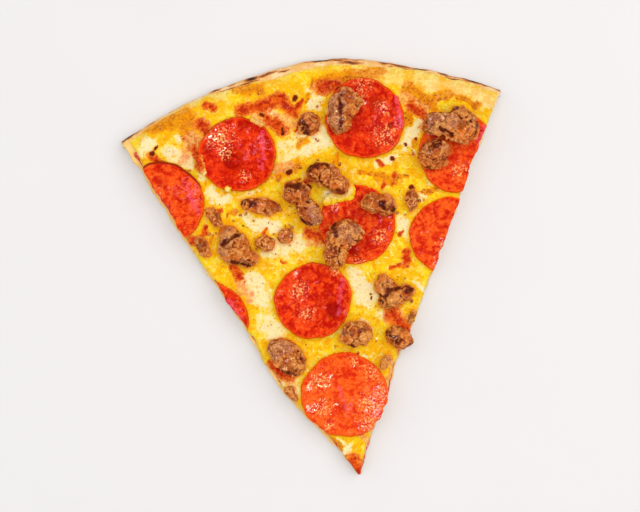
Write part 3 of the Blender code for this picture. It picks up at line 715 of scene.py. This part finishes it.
def make_crust():
    """The dough: base, rim with burnt spots, and open crumb at both cuts."""
    field_rows, rim_rows = 180, 132
    reach = 208.0
    knee = 1 - RIM_ZONE / reach
    along = np.concatenate([
        np.linspace(0, knee, field_rows, endpoint=False),
        knee + (1 - knee) * np.sin(np.linspace(0, math.pi / 2, rim_rows + 1)),
    ])
    across = np.linspace(0, 1, 241)
    x, y = crust_plan.grid(along, across)
    flat = with_height(x, y, np.zeros_like(x)).reshape(-1, 3)
    inset = crust_plan.reach(np.arctan2(x, y)) - np.hypot(x, y)
    bare = smooth(inset.ravel(), RIM_ZONE, RIM_CREST)
    lumps = 0.45 * noise(flat, 12.0, 11, 2) + 0.22 * noise(flat, 3.5, 12, 2) + 0.07 * noise(flat, 1.0, 13)
    z = dough_top(x, y) + (lumps * bare * smooth(inset.ravel(), 0.0, 3.0)).reshape(x.shape)
    top = with_height(x, y, z)
    shrink = 1 - BASE_INSET * np.clip(1 - inset / RIM_ZONE, 0, 1) ** 2 / np.hypot(x, y)
    arch = 0.25 + 0.25 * noise(flat, 9.0, 14, 2).reshape(x.shape)
    under = with_height(x * shrink, y * shrink, np.maximum(0.0, arch * smooth(arch, 0.25, 0.6)))
    burn = np.zeros(x.shape)
    angle = np.degrees(np.arctan2(x, y))
    for place, depth, length, width in rim_burns(21, 67):
        gap = np.hypot((angle - place) / length, (inset - depth) / width)
        strength = 1.2 if width > 1.2 else 0.9
        burn = np.maximum(burn, strength * (1 - smooth(gap, 0.1, 1.6)))
    ragged = noise(flat, 6.0, 15, 3).reshape(x.shape)
    stretch = 1.0 * noise(flat, 17.0, 16, 2).reshape(x.shape) + 0.6 * ragged
    edge_line = (0.3 + 0.4 * smooth(angle, 4.0, 10.0) + 1.1 * stretch) * (1 - smooth(inset, 0.2, 1.7 + 1.6 * ragged))
    burn = np.maximum(burn, edge_line)

    def swell(points, share, outward):
        """Rounds the rim's outside and makes the cuts' crumb uneven."""
        round_side = np.hypot(points[:, 0], points[:, 1]) > 203
        bulge = np.where(round_side, 1.3, 0.25) * math.sin(math.pi * share) * (1 - 0.3 * share)
        near, _ = cells(points * (1, 1, 1.6), 2.4, 21)
        hole = 0.7 * smooth(0.42 - near, 0.0, 0.3) * ~round_side
        rough = 0.3 * noise(points, 2.2, 22, 2) * (1 - abs(2 * share - 1) ** 3)
        return points + outward * (bulge + rough - hole)[:, None]

    gilded = smooth(-angle, 12.0, 16.0) * smooth(inset, 1.2, 3.0 + 2.0 * ragged)
    fields = {"burn": burn, "gilded": gilded}
    return slab("pizza_crust", top, under, 9, swell, 3, dough_look(), fields, "crust")


def make_sauce():
    x, y = sauce_plan.grid(np.linspace(0, 1, 301), np.linspace(0, 1, 61), 0.0, 0.7)
    flat = with_height(x, y, np.zeros_like(x)).reshape(-1, 3)
    ripple = 0.12 * noise(flat, 4.0, 31, 2).reshape(x.shape)
    base = dough_top(x, y)
    top, under = with_height(x, y, base + SAUCE_TOP + ripple), with_height(x, y, base - 0.1)

    def swell(points, share, outward):
        bulge = 0.45 * math.sin(math.pi * share)
        return points + outward * (bulge + 0.5 * noise(points, 3.0, 32, 2))[:, None]

    return slab("pizza_sauce", top, under, 4, swell, 3, sauce_look(), {}, "tomato_sauce")


class Disc:
    """One disc of pepperoni: where it is and how its upper side runs."""

    def __init__(self, number, x, y, radius, orange, char):
        self.number, self.middle, self.radius = number, np.array((x, y)), radius
        self.orange, self.char = orange, char
        self.solid = Solid(f"pepperoni_{number}")
        hits = []
        for ring in np.linspace(0, 0.99, 12):
            for turn in np.linspace(0, 2 * math.pi, 40, endpoint=False):
                px, py = x + ring * radius * math.cos(turn), y + ring * radius * math.sin(turn)
                z = self.solid.top(px, py)
                if z is not None:
                    hits.append((px, py, z))
        hits = np.array(hits)
        self.fit, *_ = np.linalg.lstsq(self.terms(hits[:, 0], hits[:, 1]), hits[:, 2], rcond=None)

    def terms(self, x, y):
        a, b = (x - self.middle[0]) / self.radius, (y - self.middle[1]) / self.radius
        return np.stack([a**i * b**j for i in range(5) for j in range(5 - i)], axis=-1)

    def top(self, x, y):
        return self.terms(x, y) @ self.fit

    def edge(self, turn):
        """The radius towards a direction, a little out of round."""
        phase = 1.7 * self.number
        wave = 0.02 * np.sin(2 * turn + phase) + 0.012 * np.sin(3 * turn - phase) + 0.01 * np.sin(5 * turn)
        wave = wave + 0.009 * np.sin(9 * turn + phase) + 0.005 * np.sin(17 * turn + 2 * phase)
        return self.radius * (1 + wave)

    def share(self, x, y):
        """0 at the middle and 1 at the disc's edge."""
        dx, dy = x - self.middle[0], y - self.middle[1]
        return np.hypot(dx, dy) / self.edge(np.arctan2(dy, dx))


discs = [Disc(*sizes) for sizes in PEPPERONI]


def outline_from(disc, start, turns):
    """How far the disc runs from an inner point in each direction, ending at its edge or at a cut."""
    inside, outside = np.zeros(len(turns)), np.full(len(turns), 45.0)
    for _ in range(14):
        middle = (inside + outside) / 2
        x, y = start[0] + middle * np.cos(turns), start[1] + middle * np.sin(turns)
        kept = (disc.share(x, y) < 1) & (cheese_plan.edge_gap(x, y) > -0.35)
        inside, outside = np.where(kept, middle, inside), np.where(kept, outside, middle)
    return inside


def make_pepperoni(disc, material):
    """One disc: a cupped, beaded upper side, a rounded edge and a plain underside."""
    segments, rings, edge_rings, low_rings = 288, 60, 5, 3
    turns = np.linspace(0, 2 * math.pi, segments, endpoint=False)
    start = disc.middle
    if cheese_plan.edge_gap(*disc.middle) < disc.radius:
        start = disc.solid.points[:, :2].mean(axis=0)
    reach = outline_from(disc, start, turns)
    shares = np.concatenate([np.linspace(0, 1, rings + 1)[1:] ** 0.8, np.ones(edge_rings - 1)])
    shares = np.concatenate([shares, np.linspace(1, 0, low_rings + 1)[:-1]])
    r = shares[:, None] * reach[None, :]
    x, y = start[0] + r * np.cos(turns), start[1] + r * np.sin(turns)
    whole = disc.share(x, y)
    flat = with_height(x, y, np.full_like(x, 40.0 * disc.number)).reshape(-1, 3)
    relief = 0.4 * noise(flat, 8.0, 41, 2) + 0.14 * noise(flat, 3.0, 42, 2)
    beaded = spots(x + 2.0 * noise(flat, 5.0, 44, 2).reshape(x.shape), y, BEADED, 0.8)
    near, _ = cells(flat, 1.2, 43)
    relief = relief + 0.22 * (beaded.ravel() * 0.85 + 0.15) * smooth(0.55 - near, 0.0, 0.5)
    relief = relief.reshape(x.shape)
    relief += 0.12 * smooth(whole, 0.8, 0.95)
    dark = np.zeros_like(x)
    for px, py, radius, depth in WELLS:
        dip = 1 - smooth(np.hypot(x - px, y - py) / radius, 0.2, 1.1)
        relief -= depth * dip
        dark = np.maximum(dark, min(1.0, 0.3 + 0.6 * depth) * dip)
    sway = 1.3 * noise(flat, 4.0, 45, 2).reshape(x.shape)
    # The rosy stretches carry painted sheen, a pink reflection of light; a low ridge is also raised along them.
    painted_sheen = strokes(x + sway, y, PAINTED_SHEEN, 0.8)
    relief += 0.12 * strokes(x + 0.8 + sway, y, PAINTED_SHEEN, 0.9)
    z_top = disc.top(x, y) + relief
    rim_gap = np.minimum((1 - shares)[:, None] * reach[None, :], 1.0)
    z_top -= 0.8 * (1 - np.sqrt(np.maximum(0, 1 - (1 - rim_gap) ** 2)))
    thick = 1.7
    z = z_top.copy()
    for k in range(edge_rings):
        row = rings - 1 + k
        down = k / edge_rings
        z[row] = z_top[rings - 1] - (thick - 0.6) * down
        push = 0.25 * math.sin(math.pi * down)
        x[row] += push * np.cos(turns)
        y[row] += push * np.sin(turns)
    low = slice(rings + edge_rings - 1, None)
    z[low] = disc.top(x[low], y[low]) - thick
    middle_top = [*start, disc.top(start[0], start[1]) + relief[0].mean()]
    middle_low = [*start, disc.top(start[0], start[1]) - thick]
    count = x.size
    points = np.concatenate([with_height(x, y, z).reshape(-1, 3), [middle_top, middle_low]])
    ids = np.arange(count).reshape(x.shape)
    after = np.roll(ids, -1, axis=1)
    quads = np.stack([ids[:-1], ids[1:], after[1:], after[:-1]], axis=-1).reshape(-1, 4)
    cap = np.stack([np.full(segments, count), ids[0], after[0]], axis=1)
    foot = np.stack([np.full(segments, count + 1), after[-1], ids[-1]], axis=1)
    angle = np.arctan2(y - disc.middle[1], x - disc.middle[0])
    # Only the edges facing +Y are darkened: partly charring, partly painted shade on that side.
    charred_and_shaded_edge = 1.6 * disc.char * smooth(whole, 0.9, 1.0) * smooth(np.sin(angle) + 0.2, 0.0, 0.9)
    cut = np.zeros_like(x)
    cut[rings:rings + edge_rings - 1] = (whole[rings:rings + edge_rings - 1] < 0.985)

    def with_ends(values):
        return np.concatenate([values.ravel(), [values[0].mean(), 0.0]])

    fields = {
        "orange": with_ends(np.full_like(x, disc.orange)), "beaded": with_ends(beaded), "dark": with_ends(dark),
        "painted_sheen": with_ends(painted_sheen), "rim": with_ends(smooth(whole, 0.85, 1.0)), "char": with_ends(charred_and_shaded_edge), "cut": with_ends(cut),
    }
    name = f"pepperoni_{disc.number}"
    return make_piece(f"{name}_slice", points, [quads, cap, foot], material, fields, name)


def chunk_seeds(points, gap, seed):
    """Spread-out members of points, at least gap apart."""
    order = np.argsort(scattered(np.round(points * 10), seed))
    left, seeds = points[order], []
    while len(left):
        seeds.append(left[0])
        left = left[np.linalg.norm(left - left[0], axis=1) > gap]
    return np.array(seeds)


def relaxed(points, quads, rounds):
    """The points of a closed mesh, each drawn again and again to the middle of its neighbours."""
    ends, starts = quads.ravel(), np.roll(quads, -1, axis=1).ravel()
    share = np.maximum(np.bincount(ends, minlength=len(points)), 1)
    for _ in range(rounds):
        sums = [np.bincount(ends, weights=points[starts, k], minlength=len(points)) for k in range(3)]
        points = np.stack(sums, axis=1) / share[:, None]
    return points


def make_sausage(number, material):
    """One lump: the CAD lump made dense, then broken into flat-sided chunks with ragged grain."""
    name = f"sausage_{number:02d}"
    helper = bpy.data.objects.new("lump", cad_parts[name].data.copy())
    bpy.context.scene.collection.objects.link(helper)
    remesh = helper.modifiers.new("dense", "REMESH")
    remesh.mode = "VOXEL"
    remesh.voxel_size = 0.00038
    soften = helper.modifiers.new("soften", "SMOOTH")
    soften.iterations = 10
    soften.factor = 0.7
    dense = helper.evaluated_get(bpy.context.evaluated_depsgraph_get()).to_mesh()
    count = len(dense.vertices)
    points = np.empty(count * 3)
    normals = np.empty(count * 3)
    dense.vertices.foreach_get("co", points)
    dense.vertex_normals.foreach_get("vector", normals)
    corners = np.empty(len(dense.loops), np.int64)
    dense.loops.foreach_get("vertex_index", corners)
    quads = corners.reshape(-1, 4)
    points = points.reshape(-1, 3) * 1000 - TIP_AT
    normals = normals.reshape(-1, 3)
    bpy.data.objects.remove(helper)
    size = min(np.ptp(points[:, 0]), np.ptp(points[:, 1]), 16.0) / 16
    low, high = points.min(axis=0), points.max(axis=0)
    rise = (points[:, 2] - low[2]) / (high[2] - low[2])
    shifted = points + (0, 0, 9.0 * number)
    warped = points + np.stack([1.3 * noise(shifted, 3.4, 150 + k, 2) for k in range(3)], axis=1)
    seeds = chunk_seeds(warped, 3.2 + 2.0 * size, number)
    gaps = np.linalg.norm(warped[:, None] - seeds, axis=2)
    chunk = gaps.argmin(axis=1)
    ordered = np.partition(gaps, 1, axis=1) if len(seeds) > 1 else np.column_stack([gaps, gaps + 2])
    joint = ordered[:, 1] - ordered[:, 0]
    luck = scattered(np.arange(len(seeds))[:, None] + np.array((number * 31, 0, 0)), 61)
    tilt = np.stack([scattered(np.arange(len(seeds))[:, None] + np.array((number * 31, 7, k)), 62) for k in range(3)], axis=1)
    shift = np.zeros_like(points)
    for k in range(len(seeds)):
        own = chunk == k
        if own.sum() < 4:
            continue
        facing = normals[own].mean(axis=0)
        facing = facing / max(np.linalg.norm(facing), 1e-6) + 0.5 * (tilt[k] - 0.5)
        facing /= np.linalg.norm(facing)
        level = (points[own].mean(axis=0) - points[own]) @ facing + 0.7 * (luck[k] - 0.4)
        shift[own] = ((0.36 + 0.54 * size) * level)[:, None] * facing
    ease = 0.35 + 0.65 * smooth(joint, 0.0, 0.9)
    points = points + shift * ease[:, None]
    open_joint = smooth(noise(shifted, 6.0, 58, 2), -0.25, 0.25) * (1 - smooth(joint, 0.0, 0.55))
    bent = shifted + 0.8 * noise(shifted, 2.5, 57)[:, None]
    side, grey, tan = MEAT_TONES.get(number, (None, 0.35, 0.35))
    across = (points - (low + high) / 2) / np.maximum((high - low) / 2, 1.0)
    toward = 1.0 if side is None else smooth(across[:, :2] @ np.array(side) + 0.3 * noise(shifted, 4.0, 59), -0.3, 0.4)
    face = grey * toward * smooth(normals[:, 2], 0.25, 0.75) * (0.6 + 0.4 * luck[chunk])
    calm = np.clip(smooth(noise(shifted, 5.0, 60, 2), -0.15, 0.3) + 0.9 * face + (0.6 if tan > 1 else 0), 0, 1)
    folds = 1.5 * np.abs(noise(bent, 4.2, 54, 2)) - 1.5 * np.abs(noise(bent, 2.6, 55, 2)) * (1 - 0.7 * calm)
    folds += 0.3 + 0.45 * noise(bent, 1.2, 56) * (1 - 0.7 * calm)
    move = (folds * (1 - 0.4 * calm) + 0.9 * noise(shifted, 5.0, 53, 2) - 0.7 * open_joint - 0.35) * (0.5 + 0.5 * size)
    points = points + normals * move[:, None]
    points[:, 2] -= 0.5 * (1 - rise)
    # Painted shade: the crease field darkens points that sit in hollows, towards the bottom, and along the browned
    # strokes.
    hollow = 0.0
    for rounds in (3, 22):
        depth = ((relaxed(points, quads, rounds) - points) * normals).sum(axis=1)
        hollow = hollow + 0.5 * depth / depth.std()
    browned_and_shaded = strokes(points[:, 0] + 0.8 * noise(shifted, 2.5, 63), points[:, 1] + 0.8 * noise(shifted, 2.5, 64), BROWNED_AND_SHADED, 0.6)
    crease_shade = np.clip((0.42 - 0.2 * calm) * hollow + 0.9 * browned_and_shaded + 0.6 * (1 - rise) ** 3, 0, 1.2)
    # The tan field is tan skin laid on upward faces, partly painted highlight, plus painted highlight on the ridges.
    fields = {
        "crease_shade": crease_shade, "face": face, "tone": 0.25 + 0.6 * luck[chunk],
        "tan": tan * luck[(chunk + 1) % len(seeds)] * smooth(normals[:, 2], 0.0, 0.8) + 0.6 * np.clip(-hollow, 0, 1.2),
    }
    return make_piece(f"{name}_lump", points, [quads], material, fields, name)


def lump_gap(x, y, lumps):
    """Distance outside the nearest sausage lump in plan, 0 below one, up to 4."""
    best = np.full(x.shape, 4.0)
    for lump in lumps:
        mesh = lump.data
        points = np.empty(len(mesh.vertices) * 3)
        mesh.vertices.foreach_get("co", points)
        points = points.reshape(-1, 3) * 1000 - TIP_AT
        low, high = points.min(axis=0) - 4, points.max(axis=0) + 4
        area = (x > low[0]) & (x < high[0]) & (y > low[1]) & (y < high[1])
        cell = 0.7
        grid = np.unique(np.round(points[:, :2] / cell), axis=0) * cell
        px, py = x[area], y[area]
        gap = np.full(px.shape, 4.0)
        for start in range(0, len(grid), 200):
            part = grid[start:start + 200]
            gap = np.minimum(gap, np.hypot(px[:, None] - part[:, 0], py[:, None] - part[:, 1]).min(axis=1))
        best[area] = np.minimum(best[area], np.maximum(gap - 0.5, 0.0))
    return best


def make_grains(name, places, material, fields):
    """Many small uneven grains joined as one piece. places holds (x, y, z, radius) rows."""
    turns, levels = 8, 6
    v, u = np.meshgrid(np.linspace(0, math.pi, levels), np.linspace(0, 2 * math.pi, turns, endpoint=False), indexing="ij")
    ball = with_height(np.sin(v) * np.cos(u), np.sin(v) * np.sin(u), np.cos(v))[1:-1].reshape(-1, 3)
    ball = np.concatenate([ball, [(0, 0, 1), (0, 0, -1)]])
    ids = np.arange((levels - 2) * turns).reshape(levels - 2, turns)
    after = np.roll(ids, -1, axis=1)
    quads = np.stack([ids[:-1], ids[1:], after[1:], after[:-1]], axis=-1).reshape(-1, 4)
    caps = [np.stack([np.full(turns, len(ball) - 2), ids[0], after[0]], axis=1)]
    caps.append(np.stack([np.full(turns, len(ball) - 1), after[-1], ids[-1]], axis=1))
    points, all_quads, all_caps = [], [], []
    for k, (x, y, z, radius) in enumerate(places):
        uneven = 1 + 0.45 * noise(ball + 5.0 * k, 0.9, 71)
        grain = ball * uneven[:, None] * radius * (1, 0.8, 0.7)
        spin = 2.4 * k
        turned = grain @ np.array(((math.cos(spin), -math.sin(spin), 0), (math.sin(spin), math.cos(spin), 0), (0, 0, 1)))
        points.append(turned + (x, y, z + 0.25 * radius))
        all_quads.append(quads + k * len(ball))
        all_caps += [cap + k * len(ball) for cap in caps]
    points = np.concatenate(points)
    full = {key: np.full(len(points), value) for key, value in fields.items()}
    faces = [np.concatenate(all_quads), np.concatenate(all_caps)]
    return make_piece(name, points, faces, material, full, None)


def scatter_over(cheese, lumps, wanted, nearest_lump, farthest_lump, small, large, seed):
    """Rows (x, y, z, radius) of places on the open cheese at those distances from the lumps of sausage."""
    mesh = cheese.data
    surface = np.empty(len(mesh.vertices) * 3)
    mesh.vertices.foreach_get("co", surface)
    surface = surface.reshape(-1, 3) * 1000 - TIP_AT
    number = np.arange(wanted * 14)
    luck = [scattered(np.stack([number, number * 0 + k, number * 0], axis=1), seed) for k in range(3)]
    angle, radius = np.radians(-25 + 49 * luck[0]), 12 + 186 * np.sqrt(luck[1])
    x, y = radius * np.sin(angle), radius * np.cos(angle)
    open_cheese = cheese_plan.edge_gap(x, y) > 2.0
    for disc in discs:
        open_cheese &= disc.share(x, y) > 1.06
    gap = lump_gap(x, y, lumps)
    open_cheese &= (gap > nearest_lump) & (gap < farthest_lump)
    rows = []
    for k in np.flatnonzero(open_cheese)[:wanted]:
        near = np.hypot(surface[:, 0] - x[k], surface[:, 1] - y[k]) < 0.8
        rows.append((x[k], y[k], surface[near, 2].max(), small + (large - small) * luck[2][k] ** 2))
    return rows


def make_cheese(lumps):
    """The melted cheese, with milky and golden patches, toasted blisters and sauce coming through."""
    along = np.linspace(0, 1, 316)
    across = np.linspace(0, 1, 262)
    x, y = cheese_plan.grid(along, across)
    flat = with_height(x, y, np.zeros_like(x)).reshape(-1, 3)
    inset = crust_plan.reach(np.arctan2(x, y)) - np.hypot(x, y)
    shape = x.shape
    warp = [2.4 * noise(flat, 6.0, k, 3).reshape(shape) + 1.0 * noise(flat, 1.8, k + 5, 2).reshape(shape) for k in (61, 62)]
    wx, wy = x + warp[0], y + warp[1]
    broad = noise(flat, 16.0, 63, 2).reshape(shape)
    middling = noise(flat, 6.0, 64, 3).reshape(shape)
    small = noise(flat, 2.4, 65, 3).reshape(shape)
    milk = np.clip(0.16 + 0.95 * strokes(wx, wy, MILKY + small_marks(46, 61, 12, 8, 2.6), 0.5) + 0.55 * middling + 0.4 * small, 0, 1.4)
    gold_and_shade = np.clip(strokes(wx, wy, GOLDEN, 0.6) + 0.3 * small + 0.3 * middling, 0, 1)
    toast = np.clip(strokes(wx, wy, TOASTED + small_marks(26, 62, 130, 6, 1.9), 0.5) + 0.2 * small, 0, 1.2)
    sauce = strokes(x + 0.7 * warp[0], y + 0.7 * warp[1], SAUCY + small_marks(24, 63, 40, 5, 1.4), 0.8)
    blush = strokes(x + 0.7 * warp[0], y + 0.7 * warp[1], BLUSHING, 0.6)
    burnt = small_marks(20, 64, 140, 1, 1.5) + small_marks(5, 65, 20, 1, 1.0)
    char = strokes(x + 0.2 * warp[0], y + 0.2 * warp[1], burnt, 0.35)
    milk *= 1 - 0.7 * np.maximum(np.minimum(toast, 1), sauce)
    height = 0.35 * broad + 0.35 * middling + 0.3 * small + 0.3 * np.minimum(milk, 1)
    height -= 0.35 * sauce
    for px, py, radius, rise in blisters(22, 68):
        gap = np.hypot(x - px, y - py) / radius
        height += rise * (1 - smooth(gap, 0.35, 1.2)) - 0.5 * rise * (1 - smooth(gap, 0.0, 0.5))
    thin = smooth(cheese_plan.reach(np.arctan2(x, y)) - np.hypot(x, y), 0.0, 4.0)
    edge = np.clip(cheese_plan.edge_gap(x, y), 0.0, 1.3) / 1.3
    rounding = np.sqrt(np.maximum(0.0, 1 - (1 - edge) ** 2))
    gap = lump_gap(x, y, lumps)
    height += 1.0 * np.exp(-gap / 0.9)
    rim_gap = np.full(shape, 9.0)
    for disc in discs:
        rim_gap = np.minimum(rim_gap, np.abs(disc.share(x, y) - 1) * disc.radius)
    over = strokes(x + 0.3 * warp[0], y + 0.3 * warp[1], TONGUES, 0.6)
    rim_gap += 8.0 * over
    # An orange halo of oil round the discs; then painted shade: more gold next to the lumps and the discs, where they
    # shade the cheese.
    gold_and_shade = np.maximum(gold_and_shade, 0.8 * np.exp(-rim_gap / 1.2))
    gold_and_shade += 0.4 * smooth(3.9 - gap, 0.0, 3.5) + 0.3 * np.exp(-rim_gap / 3.0)
    milk = np.maximum(milk * (1 - 0.8 * np.exp(-rim_gap / 1.0)), 0.9 * over)
    ends = cheese_plan.reach(np.arctan2(x, y)) - np.hypot(x, y)
    turned = np.degrees(np.arctan2(x, y))
    pale_band = 2.0 + 7.0 * smooth(turned, 2.0, 12.0) + 3.0 * middling
    baked = smooth(pale_band - ends, -1.5, 2.5)
    thick = (CHEESE_TOP - CHEESE_UNDER) * smooth((inset - 3.0) / 16.0) + 0.9
    z = dough_top(x, y) + CHEESE_UNDER + (thick - 0.4 + height) * np.minimum(thin * 0.9 + 0.1, rounding * 0.65 + 0.35)
    for disc in discs:
        outside = (disc.share(x, y) - 1) * disc.radius
        near = (outside > 0) & (outside < 6)
        lift = disc.top(x[near], y[near]) - 0.35 + 0.5 * middling[near] - z[near]
        z[near] += np.clip(lift, 0.0, 2.2) * np.exp(-outside[near] / 1.3)
    for disc in discs:
        share = disc.share(x, y)
        below, covering = share < 0.965 + 0.03 * small, (share < 1.06) & (over > 0.04)
        z[below] = np.minimum(z[below], disc.top(x[below], y[below]) - 1.0)
        z[covering] = disc.top(x[covering], y[covering]) + 0.25 + 0.6 * np.sqrt(over[covering])
    floor = dough_top(x, y) + CHEESE_UNDER * smooth((inset - 7.0) / 4.0) - 0.25
    z = np.maximum(z, floor + 0.25)

    def swell(points, share, outward):
        bulge = 0.35 * math.sin(math.pi * share)
        return points + outward * (bulge + 0.25 * noise(points, 2.0, 66, 2))[:, None]

    # Painted shade: an amber tint beside the lumps and round the discs' edges.
    shade = 0.8 * np.exp(-gap / 1.0) * (gap < 3.9)
    fields = {
        "milk": milk, "gold_and_shade": gold_and_shade, "toast": toast, "sauce": sauce, "char": char, "baked": baked, "blush": blush,
        "shade": np.maximum(shade, 1.0 * np.exp(-rim_gap / 1.0)),
    }
    top, under = with_height(x, y, z), with_height(x, y, floor)
    return slab("pizza_cheese", top, under, 5, swell, 3, cheese_look(), fields, "cheese")


make_crust()
make_sauce()
meat = sausage_look()
lumps = [make_sausage(number, meat) for number in range(1, 23)]
disc_material = pepperoni_look()
for disc in discs:
    make_pepperoni(disc, disc_material)
melted = make_cheese(lumps)
crumb_fields = {"crease_shade": 0.0, "tan": 0.6, "face": 0.0, "tone": 0.7}
crumbs = scatter_over(melted, lumps, 64, 0.4, 3.4, 0.35, 1.1, 81)
make_grains("sausage_crumbs", crumbs, meat, crumb_fields)
toasted_grains = scatter_over(melted, lumps, 34, 0.8, 12.0, 0.18, 0.4, 82)
make_grains("toasted_specks", toasted_grains, speck_look(), {})


# ---------------------------------------------------------------- table, light and camera


def make_stage():
    look = Look("pale_table", {"Specular IOR Level": 0.1})
    soft = look.noise(60.0, 2.0, 0.5)
    colour = look.mix(soft, srgb(221, 219, 220), srgb(218, 216, 217))
    material = look.finish(base_color=colour, roughness=0.6)
    mesh = bpy.data.meshes.new("table_top")
    side, level = 1.6, -0.00005
    corners = [(-side, -side, level), (side, -side, level), (side, side, level), (-side, side, level)]
    mesh.from_pydata(corners, [], [(0, 1, 2, 3)])
    mesh.materials.append(material)
    table = bpy.data.objects.new("table_top", mesh)
    bpy.context.scene.collection.objects.link(table)


def add_light(name, place, size, power, colour, only_shine=False):
    """An area light aimed at the slice. only_shine keeps it to the gleam on wet surfaces, and
    the others leave the gleam to it."""
    data = bpy.data.lights.new(name, "AREA")
    data.shape = "RECTANGLE"
    data.size, data.size_y = size
    data.energy = power
    data.color = colour
    light = bpy.data.objects.new(name, data)
    light.location = place
    light.rotation_euler = (-Vector(place)).to_track_quat("-Z", "Y").to_euler()
    light.visible_diffuse = not only_shine
    light.visible_glossy = only_shine
    bpy.context.scene.collection.objects.link(light)


def add_camera():
    """Straight above the slice, turned a little."""
    turn, lens, width, level = math.radians(-7), 85.0, 0.320, 0.008
    data = bpy.data.cameras.new("above")
    data.lens, data.sensor_width = lens, 36.0
    camera = bpy.data.objects.new("above", data)
    camera.location = (-0.00395, 0.00634, level + width * lens / 36.0)
    camera.rotation_euler = (0, 0, turn)
    bpy.context.scene.collection.objects.link(camera)
    bpy.context.scene.camera = camera


make_stage()
add_light("window", (0.7, 0.15, 1.6), (2.4, 2.4), 30.0, (1.0, 0.975, 0.94))
add_light("fill", (-1.3, 0.1, 1.5), (2.6, 2.6), 14.0, (0.96, 0.98, 1.0))
add_light("lamp", (0.55, -0.45, 1.5), (0.2, 0.2), 8.5, (1.0, 0.9, 0.74), True)
add_light("strip", (-0.75, 0.1, 1.4), (0.14, 1.0), 8.0, (0.85, 0.7, 1.0), True)
world = bpy.data.worlds.new("studio")
world.use_nodes = True
world.node_tree.nodes["Background"].inputs["Color"].default_value = (1.0, 1.0, 1.0, 1.0)
world.node_tree.nodes["Background"].inputs["Strength"].default_value = 0.55
world.cycles_visibility.glossy = False
bpy.context.scene.world = world
bpy.context.scene.view_settings.view_transform = "Standard"
add_camera()
